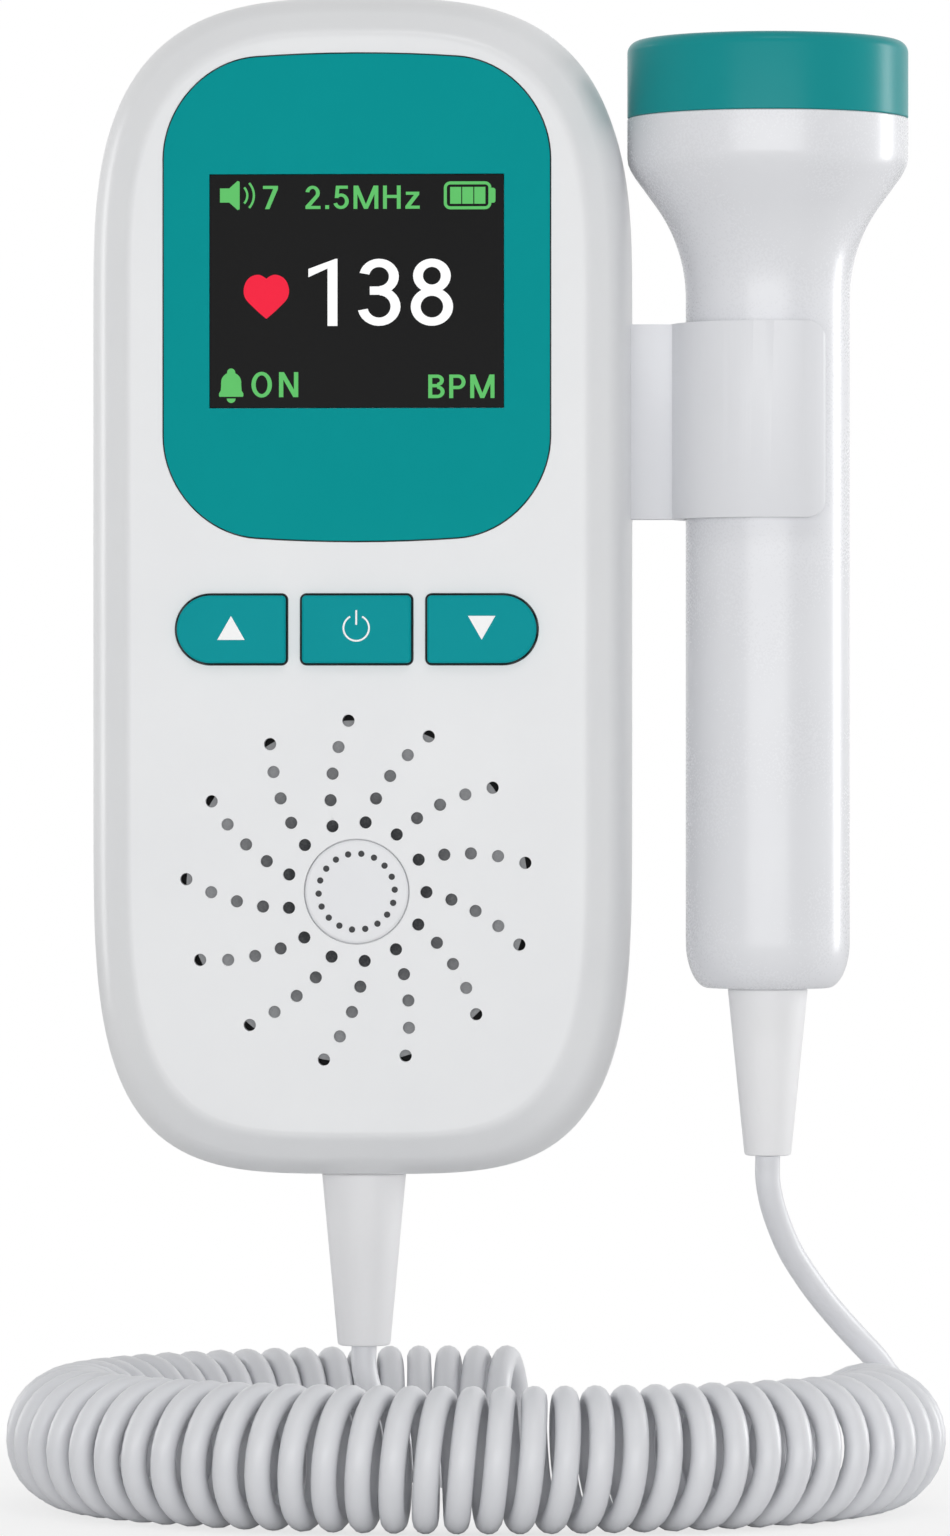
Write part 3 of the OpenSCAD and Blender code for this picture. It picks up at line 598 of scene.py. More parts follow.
def outline(inset):
    """The housing's outline, drawn in by inset."""
    half = BODY_W / 2 - inset
    points = []
    for quarter in range(4):
        corner, power = (TOP_CORNER, TOP_POWER) if quarter < 2 else (BOTTOM_CORNER, BOTTOM_POWER)
        middle = (BODY_L / 2 - corner) * (1 if quarter < 2 else -1)
        for k in range(QUARTER_STEPS + quarter % 2):
            a = math.radians(90 * (quarter + k / QUARTER_STEPS))
            c, s = math.cos(a), math.sin(a)
            points.append((
                half * math.copysign(abs(c) ** (2 / power), c),
                middle + (corner - inset) * math.copysign(abs(s) ** (2 / power), s),
            ))
    return points


def housing_half(name, skin, front):
    """Half of the housing, from the parting plane out to its rim; skin is how far in it is drawn."""
    levels = [(PART_Z - 1, skin)] if skin else [(PART_Z, PART_GROOVE), (PART_Z + PART_GROOVE, 0)]
    levels.append((BODY_T - EDGE_DEPTH - 2, skin))
    chamfered = front and not skin
    turn, wide, high = (RIM_TURN, RIM_W, RIM_H) if chamfered else (90, EDGE_INSET, EDGE_DEPTH - skin)
    for k in range(RIM_STEPS + 1):
        a = math.radians(turn * k / RIM_STEPS)
        levels.append((BODY_T - EDGE_DEPTH + high * math.sin(a), skin + wide * (1 - math.cos(a))))
    if chamfered:
        levels += [(BODY_T - drop, inset) for inset, drop in RIM_CREASE]
    flip = (lambda z: z) if front else (lambda z: BODY_T - z)
    return skinned(name, [[stood(x, y, flip(z)) for x, y in outline(inset)] for z, inset in levels])


def sleeve_hole():
    y0 = -BODY_L / 2 + 2 * WALL
    circle = disc((0, 0), SLEEVE_HOLE_R)
    return skinned("sleeve_hole", [[stood(x, y, PART_Z + z) for x, z in circle] for y in (y0, y0 - 4 * WALL)])


def key_outline(side, grow):
    w, h = KEY_W + 2 * grow, KEY_H + 2 * grow
    r = KEY_CORNER + grow
    if not side:
        return round_rect(w, h, r, (0, KEY_Y), 6)
    half = arc(((w - h) / 2, 0), h / 2, -90, 90, 40)
    half += arc((r - w / 2, h / 2 - r), r, 90, 180, 6) + arc((r - w / 2, r - h / 2), r, 180, 270, 6)
    return [(side * (x + KEY_PITCH), y + KEY_Y) for x, y in half]


def grille_holes():
    """The grille's spiral arms, hole by hole."""
    spots = []
    for arm in range(ARMS):
        for k in range(ARM_HOLES):
            a = math.radians(ARM_FIRST_DEG + 360 * arm / ARMS - ARM_STEP_DEG * k)
            r = ARM_START_R + ARM_STEP_R * k
            spots.append((r * math.cos(a), SPEAKER_Y + r * math.sin(a)))
    return spots


def spoke(k, section):
    """A section of (radius, height), turned by k steps about the speaker's middle."""
    a = math.tau * k / ROUND_STEPS
    return [(r * math.cos(a), SPEAKER_Y + r * math.sin(a), z) for r, z in section]


def ring(name, outer, low, high):
    """Flat ring round the speaker's middle."""
    corners = bar(CLOTH_HOLE_R, low, outer, high)
    points = [stood(x, y, z) for k in range(ROUND_STEPS) for x, y, z in spoke(k, corners)]
    faces = []
    for k in range(ROUND_STEPS):
        here, there = 4 * k, 4 * ((k + 1) % ROUND_STEPS)
        faces += [(here + i, here + (i + 1) % 4, there + (i + 1) % 4, there + i) for i in range(4)]
    return make_piece(name, points, faces)


def fascia_outline(grow):
    """The fascia's outline: its ends bow outwards a little."""
    plain = round_rect(FASCIA_W + 2 * grow, FASCIA_L + 2 * grow, FASCIA_R + grow, steps=20)
    thick = [
        (x0 + (x1 - x0) * k / BOWED_PARTS, y0 + (y1 - y0) * k / BOWED_PARTS)
        for (x0, y0), (x1, y1) in zip(plain, plain[1:] + plain[:1])
        for k in range(BOWED_PARTS if abs(x1 - x0) > BOWED_FROM else 1)
    ]
    return [(x, FASCIA_Y + y - math.copysign(FASCIA_BOW * x * x, y)) for x, y in thick]


def make_front_shell():
    shell = housing_half("front_housing", 0, True)
    carve(shell, housing_half("front_hollow", WALL, True))
    w, h = WINDOW_W / 2 - WINDOW_LEDGE, WINDOW_H / 2 - WINDOW_LEDGE
    carve(shell, prism("fascia_seat", fascia_outline(GAP), BODY_T - RECESS, OVER))
    carve(shell, prism("display_opening", bar(-w, WINDOW_Y - h, w, WINDOW_Y + h), PART_Z, OVER))
    holes = [prism("key_opening", key_outline(side, KEY_GAP), PART_Z, OVER) for side in (-1, 0, 1)]
    holes += [prism("hole", disc(spot, HOLE_R, 20), BODY_T - HOLE_DEPTH, OVER) for spot in grille_holes()]
    holes += [prism("badge_seat", disc((0, SPEAKER_Y), BADGE_R + GAP, 64), BODY_T - BADGE_RECESS, OVER)]
    holes += [ring("cloth_pocket", POCKET_R, CLOTH_Z - POCKET_DEPTH, CLOTH_Z + CLOTH_T)]
    carve(shell, join_all("openings", holes))
    carve(shell, sleeve_hole())
    round_edges(shell, SHELL_EDGE, angle=50)
    even_normals(shell)
    dress(shell, "monitor", "white_housing", "front_shell")
    backing = ring("grille_cloth", CLOTH_R, CLOTH_Z, CLOTH_Z + CLOTH_T - CLOTH_SLACK)
    dress(backing, "monitor", "speaker_paper", finish=CLOTH_GREY)


SCREWS = [(side * x, y) for x, y in ((12, 55.5), (20, -50)) for side in (-1, 1)]
BAY_W, BAY_L, BATTERY_Y = 30.2, 56.0, -26.5
COVER_LIP, COVER_CORNER, COVER_T = 2.0, 1.5, 1.2
SCREW_HOLE_R, SCREW_SEAT, BOSS_R, BOSS_SHORT = 2.3, 9.0, 2.9, 0.2
PLUG_R, PLUG_LOW = 0.3, 0.3
GROOVES, GROOVE_W, GROOVE_H, GROOVE_R = 4, 12.0, 1.0, 0.45
GROOVE_PITCH, GROOVE_DEPTH, GROOVE_START = 2.2, 0.5, 5.0


def cover_outline(grow):
    w, h = BAY_W + 2 * COVER_LIP, BAY_L + 2 * COVER_LIP
    return round_rect(w + 2 * grow, h + 2 * grow, COVER_CORNER + grow, (0, BATTERY_Y))


def make_rear_shell():
    shell = housing_half("rear_housing", 0, False)
    carve(shell, housing_half("rear_hollow", WALL, False))
    bosses = [prism("boss", disc(spot, BOSS_R), WALL / 2, PART_Z - BOSS_SHORT) for spot in SCREWS]
    carve(shell, join_all("bosses", bosses), "UNION")
    carve(shell, prism("cover_seat", cover_outline(2 * GAP), -1, COVER_T))
    w, h = BAY_W / 2, BAY_L / 2
    carve(shell, prism("bay_mouth", bar(-w, BATTERY_Y - h, w, BATTERY_Y + h), -1, WALL + 1))
    wells = [prism("well", disc(spot, SCREW_HOLE_R), -1, SCREW_SEAT) for spot in SCREWS]
    carve(shell, join_all("wells", wells))
    carve(shell, sleeve_hole())
    round_edges(shell, SHELL_EDGE, angle=50)
    even_normals(shell)
    dress(shell, "monitor", "white_housing", "rear_shell")


def make_battery_cover():
    cover = prism("battery_lid", cover_outline(0), 0, COVER_T)
    plug = round_rect(BAY_W - 4 * GAP, BAY_L - 4 * GAP, PLUG_R, (0, BATTERY_Y), 3)
    carve(cover, prism("lid_plug", plug, PLUG_LOW, WALL), "UNION")
    top = BATTERY_Y + BAY_L / 2 - GROOVE_START + GROOVE_H / 2
    grooves = []
    for i in range(GROOVES):
        slit = round_rect(GROOVE_W, GROOVE_H, GROOVE_R, (0, top - GROOVE_PITCH * i), 6)
        grooves.append(prism("groove", slit, -1, GROOVE_DEPTH))
    carve(cover, join_all("grooves", grooves))
    round_edges(cover, COVER_EDGE, angle=50)
    even_normals(cover)
    dress(cover, "cover", "white_housing", "battery_cover")


make_front_shell()
make_rear_shell()
make_battery_cover()

# ---------------------------------------------------------------- fascia, display and keys

SHOWN_Z = BODY_T - RECESS + WINDOW_T  # the display's front
INK, HAIR = 0.03, 0.0015  # thickness of what it shows, and the step from one stroke to the next
THIN, BOW_STEPS = 0.82, 20  # a level stroke's width to an upright one's, and the parts of a curved one


def make_fascia():
    fascia = prism("fascia", fascia_outline(-FASCIA_SEAM), BODY_T - RECESS, BODY_T - RECESS + FASCIA_T)
    w, h = (WINDOW_W + GAP) / 2, (WINDOW_H + GAP) / 2
    carve(fascia, prism("fascia_opening", bar(-w, WINDOW_Y - h, w, WINDOW_Y + h), PART_Z, OVER))
    round_edges(fascia, FASCIA_EDGE)
    even_normals(fascia)
    dress(fascia, "monitor", "teal_fascia", "fascia_panel")


def make_window():
    w, h = WINDOW_W / 2, WINDOW_H / 2
    window = prism("display_glass", bar(-w, WINDOW_Y - h, w, WINDOW_Y + h), SHOWN_Z - WINDOW_T, SHOWN_Z)
    round_edges(window, GLASS_EDGE)
    even_normals(window)
    dress(window, "monitor", "display_black", "display_window")


make_fascia()
make_window()


def plate(name, outlines, low, thick, body, slot, finish):
    """Thin raised shapes in one piece, each a hair taller than the last, so that none shares a face."""
    parts = [prism(name + "_part", o, low, low + thick + HAIR * i) for i, o in enumerate(outlines)]
    dress(join_all(name, parts), body, slot, finish=finish)


def show(name, outlines, finish):
    """Shapes lit on the display, drawn from its middle."""
    placed = [[(x, WINDOW_Y + y) for x, y in o] for o in outlines]
    plate(name, placed, SHOWN_Z, INK, "monitor", "display_black", finish)


def bow(cx, cy, rx, ry, first, last, width):
    """Part of an oval stroke, thinner at its top and bottom; the radii reach to its outer edge."""
    turns = [math.radians(first + (last - first) * k / BOW_STEPS) for k in range(BOW_STEPS + 1)]
    outer = [(cx + rx * math.cos(a), cy + ry * math.sin(a)) for a in turns]
    inner = [(cx + (rx - width) * math.cos(a), cy + (ry - THIN * width) * math.sin(a)) for a in turns]
    return outer + inner[::-1]


def oval(cx, cy, rx, ry, width):
    return [bow(cx, cy, rx, ry, 0, 180, width), bow(cx, cy, rx, ry, 180, 360, width)]


def glyph(sign, w):
    """A sign's width and the outlines of its strokes, w wide, for a capital one unit high."""
    t = THIN * w
    stem = bar(0, 0, w, 1)
    if sign == "1":
        flag = [(0.41, 1), (0, 0.85), (0, 0.85 - t), (0.44 - w, 0.98 - t)]
        return 0.60, [[(0.44 - w, 0), (0.44, 0), (0.44, 1)] + flag]
    if sign == "2":
        top = bow(0.32, 0.69, 0.30, 0.31, -30, 172, w)
        slope = [top[0], top[-1], (0.02, t), (0.02 + 1.4 * w, t)]
        return 0.65, [top, slope, bar(0.02, 0, 0.65, t)]
    if sign == "3":
        top, low = bow(0.32, 0.735, 0.30, 0.265, -88, 168, w), bow(0.32, 0.29, 0.325, 0.29, -168, 88, w)
        return 0.65, [top, low, bar(0.18, 0.525 - t / 2, 0.34, 0.525 + t / 2)]
    if sign == "5":
        back = [(0.09, 1), (0.04, 0.47), (0.04 + w, 0.47), (0.08 + w, 1)]
        return 0.63, [back, bar(0.09, 1 - t, 0.59, 1), bow(0.30, 0.33, 0.33, 0.335, -162, 130, w)]
    if sign == "7":
        leg = [(0.63, 1 - t), (0.27, 0), (0.27 - 1.15 * w, 0), (0.62 - 1.2 * w, 1 - t)]
        return 0.63, [[(0, 1), (0.63, 1)] + leg + [(0, 1 - t)]]
    if sign == "8":
        return 0.64, oval(0.32, 0.745, 0.285, 0.255, w) + oval(0.32, 0.285, 0.32, 0.285, w)
    if sign == ".":
        return w, [bar(0, 0, w, w)]
    if sign == "B":
        bowls = [bow(0.38, 0.755, 0.29, 0.245, -90, 90, w), bow(0.38, 0.27, 0.32, 0.27, -90, 90, w)]
        return 0.70, [stem] + bowls + [bar(w, y, 0.381, y + t) for y in (0, 0.53 - t / 2, 1 - t)]
    if sign == "P":
        bowl = bow(0.38, 0.69, 0.32, 0.31, -90, 90, w)
        return 0.70, [stem, bowl] + [bar(w, y, 0.381, y + t) for y in (0.38, 1 - t)]
    if sign == "O":
        return 0.81, oval(0.405, 0.5, 0.405, 0.515, w)
    if sign == "N":
        slant = [(0, 1), (1.15 * w, 1), (0.76, 0), (0.76 - 1.15 * w, 0)]
        return 0.76, [stem, bar(0.76 - w, 0, 0.76, 1), slant]
    if sign == "H":
        return 0.74, [stem, bar(0.74 - w, 0, 0.74, 1), bar(w, 0.53 - t / 2, 0.74 - w, 0.53 + t / 2)]
    if sign == "M":
        left = [(0, 1), (1.25 * w, 1), (0.52 + w / 2, 0), (0.52 - w / 2, 0)]
        return 1.04, [stem, bar(1.04 - w, 0, 1.04, 1), left, [(1.04 - x, y) for x, y in left]]
    slant = [(0.01, t), (0.57 - 1.3 * w, 0.73 - t), (0.57, 0.73 - t), (0.01 + 1.3 * w, t)]
    return 0.60, [bar(0.02, 0.73 - t, 0.58, 0.73), bar(0, 0, 0.60, t), slant]


def lettering(name, words, box, finish, weight=0.16, space=0.2):
    """Words that fill a box (left, bottom, right, top) measured from the display's middle."""
    left, bottom, right, top = box
    placed, at = [], 0.0
    for sign in words:
        width, strokes = glyph(sign, weight)
        placed += [[(at + x, y) for x, y in stroke] for stroke in strokes]
        at += width + space
    wide = (right - left) / (at - space)
    high = top - bottom
    show(name, [[(left + wide * x, bottom + high * y) for x, y in stroke] for stroke in placed], finish)


def ribbon(points, width):
    """A line of even width as a closed outline."""
    left, right = [], []
    for i, (x, y) in enumerate(points):
        ax, ay = points[max(i - 1, 0)]
        bx, by = points[min(i + 1, len(points) - 1)]
        long = math.hypot(bx - ax, by - ay)
        nx, ny = -(by - ay) / long * width / 2, (bx - ax) / long * width / 2
        left.append((x + nx, y + ny))
        right.append((x - nx, y - ny))
    return left + right[::-1]


def heart(centre, width):
    """Two round lobes with a shallow notch, drawn down to a point."""
    cx, cy = centre
    half = [
        (0, 50), (8, 56), (20, 61), (33, 60), (46, 54), (56, 43), (62, 28), (63.5, 13), (60, -2),
        (52, -14), (38, -28), (19, -46), (0, -62),
    ]
    line = eased([Vector(p) for p in half], 4)
    both = line + [Vector((-p.x, p.y)) for p in reversed(line[1:-1])]
    return [(cx + p.x * width / 127, cy + p.y * width / 127) for p in both]


def make_display_picture():
    lettering("shown_rate", "138", (-5.47, -3.95, 10.93, 3.65), LIT_WHITE, 0.15, 0.15)
    lettering("shown_level", "7", (-10.62, 9.3, -8.92, 11.93), LIT_GREEN)
    lettering("shown_frequency", "2.5MHz", (-5.85, 9.3, 7.15, 11.93), LIT_GREEN)
    lettering("shown_alarm_state", "ON", (-11.93, -12.0, -6.62, -9.17), LIT_GREEN, 0.17, 0.28)
    lettering("shown_unit", "BPM", (8.12, -12.14, 15.62, -9.48), LIT_GREEN, 0.17)
    show("shown_heart", [heart((-10.24, -0.62), 5.15)], LIT_RED)
    horn = [
        (-15.5, 10.05), (-14.45, 10.05), (-13.5, 9.2), (-13.27, 9.3),
        (-13.27, 12.4), (-13.5, 12.5), (-14.45, 11.65), (-15.5, 11.65),
    ]
    waves = [ribbon(arc((-13.75, 10.85), r, -a, a, 12), 0.25) for r, a in ((1.35, 42), (2.1, 42))]
    show("shown_horn", [horn] + waves, LIT_GREEN)
    border = round_rect(5.05, 2.82, 0.55, (12.58, 10.8), 5)
    case = [ribbon(border + border[:1], 0.34), round_rect(0.62, 1.7, 0.25, (15.42, 10.8), 4)]
    cells = [bar(x, 9.85, x + 1.25, 11.75) for x in (10.6, 11.97, 13.34)]
    show("shown_battery", case + cells, LIT_GREEN)
    side = [(1.3, -1.0), (1.38, -0.92), (1.38, -0.62), (1.18, -0.3), (1.14, 0.3)]
    side += arc((0, 0.62), 1.14, 0, 66, 7) + arc((0, 1.75), 0.46, 0, 90, 5)
    bell = side + [(-x, y) for x, y in reversed(side[:-1])]
    clapper = arc((0, -1.2), 0.5, 180, 360, 10)
    show("shown_bell", [[(x - 14.23, y - 10.95) for x, y in o] for o in (bell, clapper)], LIT_GREEN)


make_display_picture()

KEYS = {-1: "volume_up", 0: "power", 1: "volume_down"}
KEY_TOP = BODY_T + KEY_PROUD
SYMBOL_T, SUNK = 0.04, 0.01  # a symbol's thickness, and how far it or a dot is sunk
# the arrows' half width, half height and rise above the key's middle
ARROW_W, ARROW_H, ARROW_RISE = 1.55, 1.35, 0.15
# the power sign's radius, rise, line, degrees open at each side of its stroke, and the stroke's ends
POWER_R, POWER_RISE, POWER_LINE, POWER_OPEN, STROKE_LOW, STROKE_TOP = 1.45, 0.14, 0.2, 28, 0.5, 2.15


def key_symbol(side):
    x, y = side * KEY_PITCH, KEY_Y
    if side:
        y, high = y + ARROW_RISE, -side * ARROW_H
        return [[(x - ARROW_W, y - high), (x + ARROW_W, y - high), (x, y + high)]]
    loop = ribbon(arc((x, y + POWER_RISE), POWER_R, 90 + POWER_OPEN, 450 - POWER_OPEN, 40), POWER_LINE)
    return [loop, bar(x - POWER_LINE / 2, y + STROKE_LOW, x + POWER_LINE / 2, y + STROKE_TOP)]


def dark_gap_strip(name, outer, inner, low, high):
    """Dark strip in the gap round a piece set into the housing, from low to high below the face: painted
    shade for the shadow that falls in the gap.
    """
    shade_strip = prism(name, outer, BODY_T - low, BODY_T - high)
    carve(shade_strip, prism("inside", inner, PART_Z, OVER))
    dress(shade_strip, "monitor", "switch_black")


def make_keys():
    for side, body in KEYS.items():
        node = body + "_button"
        key = prism(node + "_cap", key_outline(side, -KEY_SEAM), KEY_BOTTOM_Z + KEY_FLANGE_T / 2, KEY_TOP)
        inner = key_outline(side, 2 * GAP_SHADE_CLEARANCE - KEY_SEAM)
        # dark strip in the key's gap: painted shade
        dark_gap_strip(node + "_gap_shade", key_outline(side, KEY_GAP - GAP_SHADE_CLEARANCE), inner, *KEY_GAP_SHADE)
        round_edges(key, KEY_EDGE, steps=4)
        even_normals(key)
        brim = key_outline(side, KEY_FLANGE)
        flange = prism(node + "_flange", brim, KEY_BOTTOM_Z, KEY_BOTTOM_Z + KEY_FLANGE_T)
        round_edges(flange, FLANGE_EDGE)
        dress(key, body, "teal_button", node)
        dress(flange, body, "teal_button", node)
        symbol, white = key_symbol(side), FINISHES["symbol_white"]
        plate(node + "_symbol", symbol, KEY_TOP - SUNK, SYMBOL_T, body, "teal_button", white)


make_keys()
# dark strip in the fascia's gap: painted shade
inner_edge = fascia_outline(GAP_SHADE_CLEARANCE - FASCIA_SEAM)
dark_gap_strip("fascia_gap_shade", fascia_outline(GAP - GAP_SHADE_CLEARANCE), inner_edge, *FASCIA_GAP_SHADE)


def make_badge():
    low = BODY_T - BADGE_RECESS
    edge = [(0, 0), (0, 0.34), (0.08, 0.5), (0.22, 0.58), (0.4, BADGE_RECESS)]
    section = [(0, low)] + [(BADGE_R - inset, low + z) for inset, z in edge] + [(0, low + BADGE_RECESS)]
    points = [stood(x, y, z) for k in range(ROUND_STEPS) for x, y, z in spoke(k, section)]
    count, faces = len(section), []
    for k in range(ROUND_STEPS):
        here, there = k * count, (k + 1) % ROUND_STEPS * count
        faces += [(here + i, there + i, there + i + 1, here + i + 1) for i in range(count - 1)]
    badge = make_piece("speaker_badge", points, faces)
    even_normals(badge)
    dress(badge, "monitor", "badge_grey", "grille_badge")
    dots = []
    for i in range(BADGE_DOTS):
        a = math.radians(DOT_FIRST_DEG) + math.tau * i / BADGE_DOTS
        dots.append(disc((DOT_RING_R * math.cos(a), SPEAKER_Y + DOT_RING_R * math.sin(a)), DOT_R, 18))
    plate("badge_dots", dots, BODY_T - SUNK, INK, "monitor", "badge_grey", FINISHES["dot_black"])


make_badge()

# ---------------------------------------------------------------- probe

PROBE_AT = (PROBE_X, -PROBE_Z)
NECK_ARC_R = NECK_L / math.sin(math.radians(NECK_TURN))
CONE_R = HANDLE_R + NECK_ARC_R * (1 - math.cos(math.radians(NECK_TURN)))
SHOULDER_Y = NECK_Y + NECK_L + (HEAD_R - CONE_R) / math.tan(math.radians(NECK_TURN))
BAND_Y = SHOULDER_Y + HEAD_BAND
CAP_TOP_Y = BAND_Y + CAP_H
BUTT_Y = -PROBE_BOTTOM
CAP_RIM, PROBE_HOLE_R, CAP_ROUND, DOME, EASE, RIM_EASE = 2.2, 3.2, 1.4, 0.4, 0.12, 0.2
FACE_R = HEAD_R - CAP_RIM
NECK_STEPS, BUTT_STEPS, CAP_STEPS, DOME_STEPS = 24, 14, 10, 8


def neck_curve(inside):
    r = NECK_ARC_R + inside
    turns = [math.radians(NECK_TURN * k / NECK_STEPS) for k in range(NECK_STEPS + 1)]
    return [(HANDLE_R - inside + r * (1 - math.cos(a)), NECK_Y + r * math.sin(a)) for a in turns]


def butt_curve(inside):
    wide = HANDLE_R - BUTT_FLAT_R
    turns = [math.radians(90 * k / BUTT_STEPS) for k in range(BUTT_STEPS + 1)]
    return [
        (BUTT_FLAT_R - inside + wide * math.sin(a), BUTT_Y + inside + BUTT_ROUND * (1 - math.cos(a)))
        for a in turns
    ]


def make_probe():
    w, spigot = PROBE_WALL, HEAD_R - PROBE_WALL
    shoulder = [(0.9, -1.25), (0.42, -0.45), (0.12, 0.25), (0, 1.0)]
    outer = [(PROBE_HOLE_R, BUTT_Y)] + butt_curve(0) + neck_curve(0)
    outer += [(HEAD_R - x, SHOULDER_Y + y) for x, y in shoulder]
    outer += [(HEAD_R, BAND_Y - EASE), (HEAD_R - EASE, BAND_Y)]
    outer += [(spigot, BAND_Y), (spigot, BAND_Y + SPIGOT_H)]
    inner = [(PROBE_HOLE_R, BUTT_Y + w)] + butt_curve(w) + neck_curve(w)
    inner += [(spigot - w, SHOULDER_Y + w / 2), (spigot - w, BAND_Y + SPIGOT_H)]
    shell = turned("probe_handle", outer + inner[::-1], PROBE_AT)
    dress(shell, "probe", "white_probe", "probe_shell")

    y0, bore = BAND_Y + GAP / 2, HEAD_R - w + GAP
    profile = [(bore, y0), (HEAD_R - EASE, y0), (HEAD_R, y0 + EASE)]
    for k in range(CAP_STEPS + 1):
        a = math.radians(90 * k / CAP_STEPS)
        profile.append((HEAD_R - CAP_ROUND * (1 - math.cos(a)), CAP_TOP_Y - CAP_ROUND * (1 - math.sin(a))))
    profile += [(FACE_R + GAP + RIM_EASE, CAP_TOP_Y), (FACE_R + GAP, CAP_TOP_Y - RIM_EASE)]
    profile += [(FACE_R + GAP, BAND_Y + SPIGOT_H + 2 * GAP), (bore, BAND_Y + SPIGOT_H + 2 * GAP)]
    dress(turned("probe_ring", profile, PROBE_AT), "probe", "teal_cap", "probe_cap")

    low = CAP_TOP_Y - FACE_T - DOME
    lens = [(0, low), (FACE_R, low), (FACE_R, low + FACE_T - 0.1), (FACE_R - 0.15, low + FACE_T)]
    shares = [1 - k / DOME_STEPS for k in range(1, DOME_STEPS + 1)]
    lens += [(FACE_R * share, low + FACE_T + DOME * (1 - share ** 2)) for share in shares]
    dress(turned("probe_lens", lens, PROBE_AT), "probe", "face_grey", "probe_face")


def sleeve(name, top, length, wide, narrow, neck, neck_l, centre, body, node):
    """Tapered cord sleeve that hangs from its top, with a neck through the wall and a collar inside."""
    end, inside, collar = top - length, top + neck_l, 1.4
    profile = [(0, end), (narrow - 0.35, end), (narrow - 0.1, end + 0.1), (narrow, end + 0.35)]
    profile += [(wide - 0.03, top - 0.2), (wide - 0.2, top), (neck, top), (neck, inside)]
    profile += [(neck + collar, inside), (neck + collar, inside + collar), (0, inside + collar)]
    dress(turned(name, profile, centre, 96), body, "white_sleeve", node)


make_probe()
sleeve(
    "housing_cord_sleeve", -BODY_L / 2 - GAP / 2, MONITOR_SLEEVE_L - GAP / 2, *MONITOR_SLEEVE_R,
    WALL + 2 * GAP, (0, -PART_Z), "monitor", "monitor_sleeve",
)
sleeve(
    "probe_cord_sleeve", BUTT_Y - GAP / 2, PROBE_SLEEVE_L - GAP / 2, *PROBE_SLEEVE_R,
    PROBE_WALL + GAP, PROBE_AT, "probe", "probe_sleeve",
)

# ---------------------------------------------------------------- clip


def make_clip():
    inner = HANDLE_R + 2 * GAP
    outer = inner + CLIP_WALL
    lip = CLIP_WALL / 2
    web = math.degrees(math.asin(WEB_T / 2 / outer))
    side_x = BODY_W / 2 - PROBE_X

    def lip_end(a, first):
        c = ((inner + lip) * math.cos(math.radians(a)), (inner + lip) * math.sin(math.radians(a)))
        return arc(c, lip, first, first + 180, 10)

    section = arc((0, 0), outer, CLIP_MOUTH, 180 - web, 48)
    section += [(side_x, WEB_T / 2), (side_x, -WEB_T / 2)]
    section += arc((0, 0), outer, 180 + web, 360 - CLIP_MOUTH, 48)
    section += lip_end(-CLIP_MOUTH, -CLIP_MOUTH)[1:-1]
    section += arc((0, 0), inner, 360 - CLIP_MOUTH, CLIP_MOUTH, 90)
    section += lip_end(CLIP_MOUTH, CLIP_MOUTH + 180)[1:-1]
    low = CLIP_Y - HOLD_Y
    ends = [[beside(PROBE_X + x, y - PROBE_Z, z) for x, y in section] for z in (low, low + CLIP_L)]
    clip = skinned("clip", ends)
    tip_x = PROBE_X + (inner + lip) * math.cos(math.radians(CLIP_MOUTH)) + lip
    left_x = BODY_W / 2 - 3 * CLIP_CORNER
    middle = ((left_x + tip_x) / 2, low + CLIP_L / 2)
    front_view = round_rect(tip_x - left_x, CLIP_L, CLIP_CORNER, middle)
    trim = skinned("clip_trim", [[beside(x, y, z) for x, z in front_view] for y in (-2 * BODY_T, BODY_T)])
    carve(clip, trim, "INTERSECT")
    round_edges(clip, CLIP_EDGE, angle=45)
    dress(clip, "monitor", "white_clip", "probe_clip")


make_clip()

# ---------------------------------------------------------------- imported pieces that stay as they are

slots = {part["node"]: part["material_slot"] for part in frame["record"]["subparts"]}
for node, packed in frame["nodes"].items():
    material = FINISHES[slots[node]]
    if packed.data.materials:
        for i in range(len(packed.data.materials)):
            packed.data.materials[i] = material
    else:
        packed.data.materials.append(material)

# ---------------------------------------------------------------- floor, world and lamps

FLOOR_HALF, FLOOR_SUNK = 3000.0, 0.05
# metres from the ring of curls between which the floor's shadow fades, and how white the floor starts
SHADE_NEAR, SHADE_FAR, SHADE_WHITE = 0.05, 0.14, 0.72
ROOM_LIGHT = 0.43


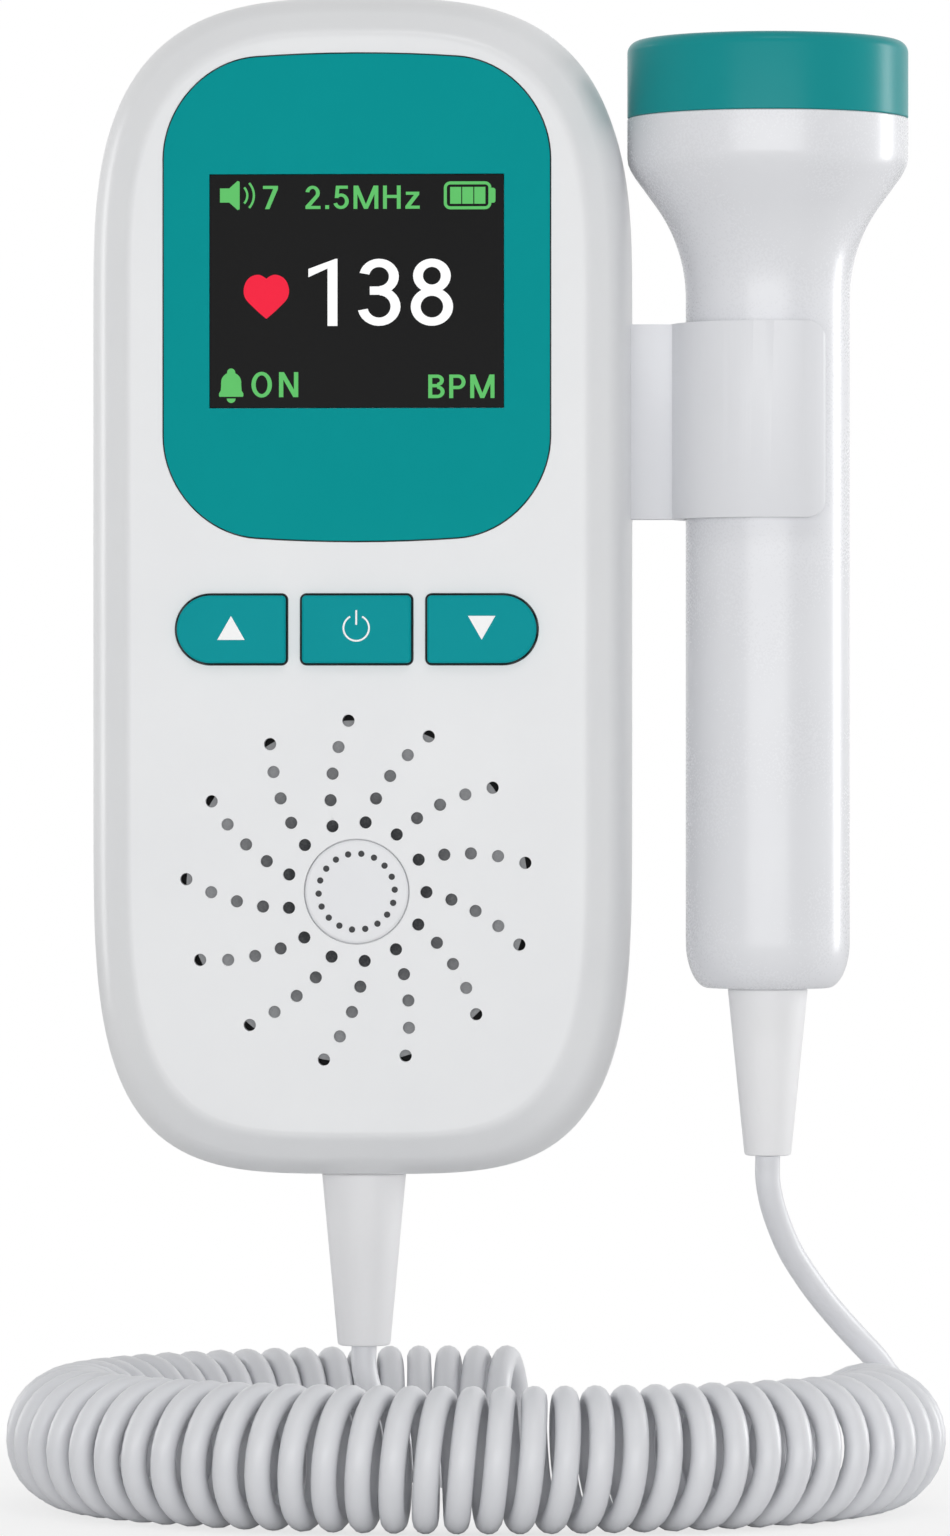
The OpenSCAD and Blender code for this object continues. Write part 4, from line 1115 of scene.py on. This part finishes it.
def make_floor():
    """White table top that shows a soft shadow near the cord and fades to white further out."""
    mesh = bpy.data.meshes.new("table_top")
    corners = bar(-FLOOR_HALF, -FLOOR_HALF, FLOOR_HALF, FLOOR_HALF)
    mesh.from_pydata([beside(x, y, FLOOR_Z - FLOOR_SUNK) for x, y in corners], [], [(0, 1, 2, 3)])
    floor = bpy.data.objects.new("table_top", mesh)
    bpy.context.scene.collection.objects.link(floor)
    finish = Finish("table_top", Roughness=0.9, Base_Color=(0.9, 0.9, 0.9, 1))
    glow = finish.add("ShaderNodeEmission", {}, {"Color": (1, 1, 1, 1), "Strength": 1.0})
    seen = finish.add("ShaderNodeLightPath", out="Is Camera Ray")
    place = finish.add("ShaderNodeNewGeometry", out="Position")
    away = finish.distance(place, tuple(RING_MID * MM))
    share = seen * finish.ramp(away, SHADE_NEAR, SHADE_FAR, SHADE_WHITE, 1.0)
    plain = Wire(finish, finish.surface.outputs[0])
    blend = finish.add("ShaderNodeMixShader", {}, {0: share, 1: plain, 2: glow})
    finish.feed(finish.nodes["Material Output"].inputs["Surface"], blend)
    mesh.materials.append(finish.material)


def make_world():
    """White where it is seen or mirrored, and a dimmer even light on everything."""
    world = bpy.data.worlds.new("studio")
    bpy.context.scene.world = world
    world.use_nodes = True
    world.node_tree.nodes.clear()
    graph = Graph(world.node_tree)
    rays = ("Is Camera Ray", "Is Glossy Ray", "Is Transmission Ray")
    camera, glossy, through = [graph.add("ShaderNodeLightPath", out=ray) for ray in rays]
    room, white = [
        graph.add("ShaderNodeBackground", {}, {"Color": (1, 1, 1, 1), "Strength": strength})
        for strength in (ROOM_LIGHT, 1.0)
    ]
    mix = graph.add("ShaderNodeMixShader", {}, {0: camera.larger(glossy).larger(through), 1: room, 2: white})
    graph.add("ShaderNodeOutputWorld", {}, {"Surface": mix})


def make_lamp(name, spot, target, size, power):
    data = bpy.data.lights.new(name, "AREA")
    data.shape = "RECTANGLE"
    data.size, data.size_y = size[0] * MM, size[1] * MM
    data.energy = power
    lamp = bpy.data.objects.new(name, data)
    lamp.location = Vector(spot) * MM
    lamp.rotation_mode = "QUATERNION"
    lamp.rotation_quaternion = (Vector(target) - Vector(spot)).to_track_quat("-Z", "Y")
    bpy.context.scene.collection.objects.link(lamp)


make_floor()
make_world()
# name, place, what it faces, width and height in millimetres, watts
make_lamp("front_softbox", (60, -1100, -60), (60, 0, -60), (1200, 380), 5.4)
make_lamp("top_softbox", (140, -560, 760), (30, -16, -30), (360, 200), 1.0)
make_lamp("right_strip", (690, 270, -20), (46, -16, -20), (160, 560), 2.7)
make_lamp("left_strip", (-640, 330, -20), (0, -16, -20), (160, 560), 1.3)

view_settings = bpy.context.scene.view_settings
view_settings.view_transform = "Standard"
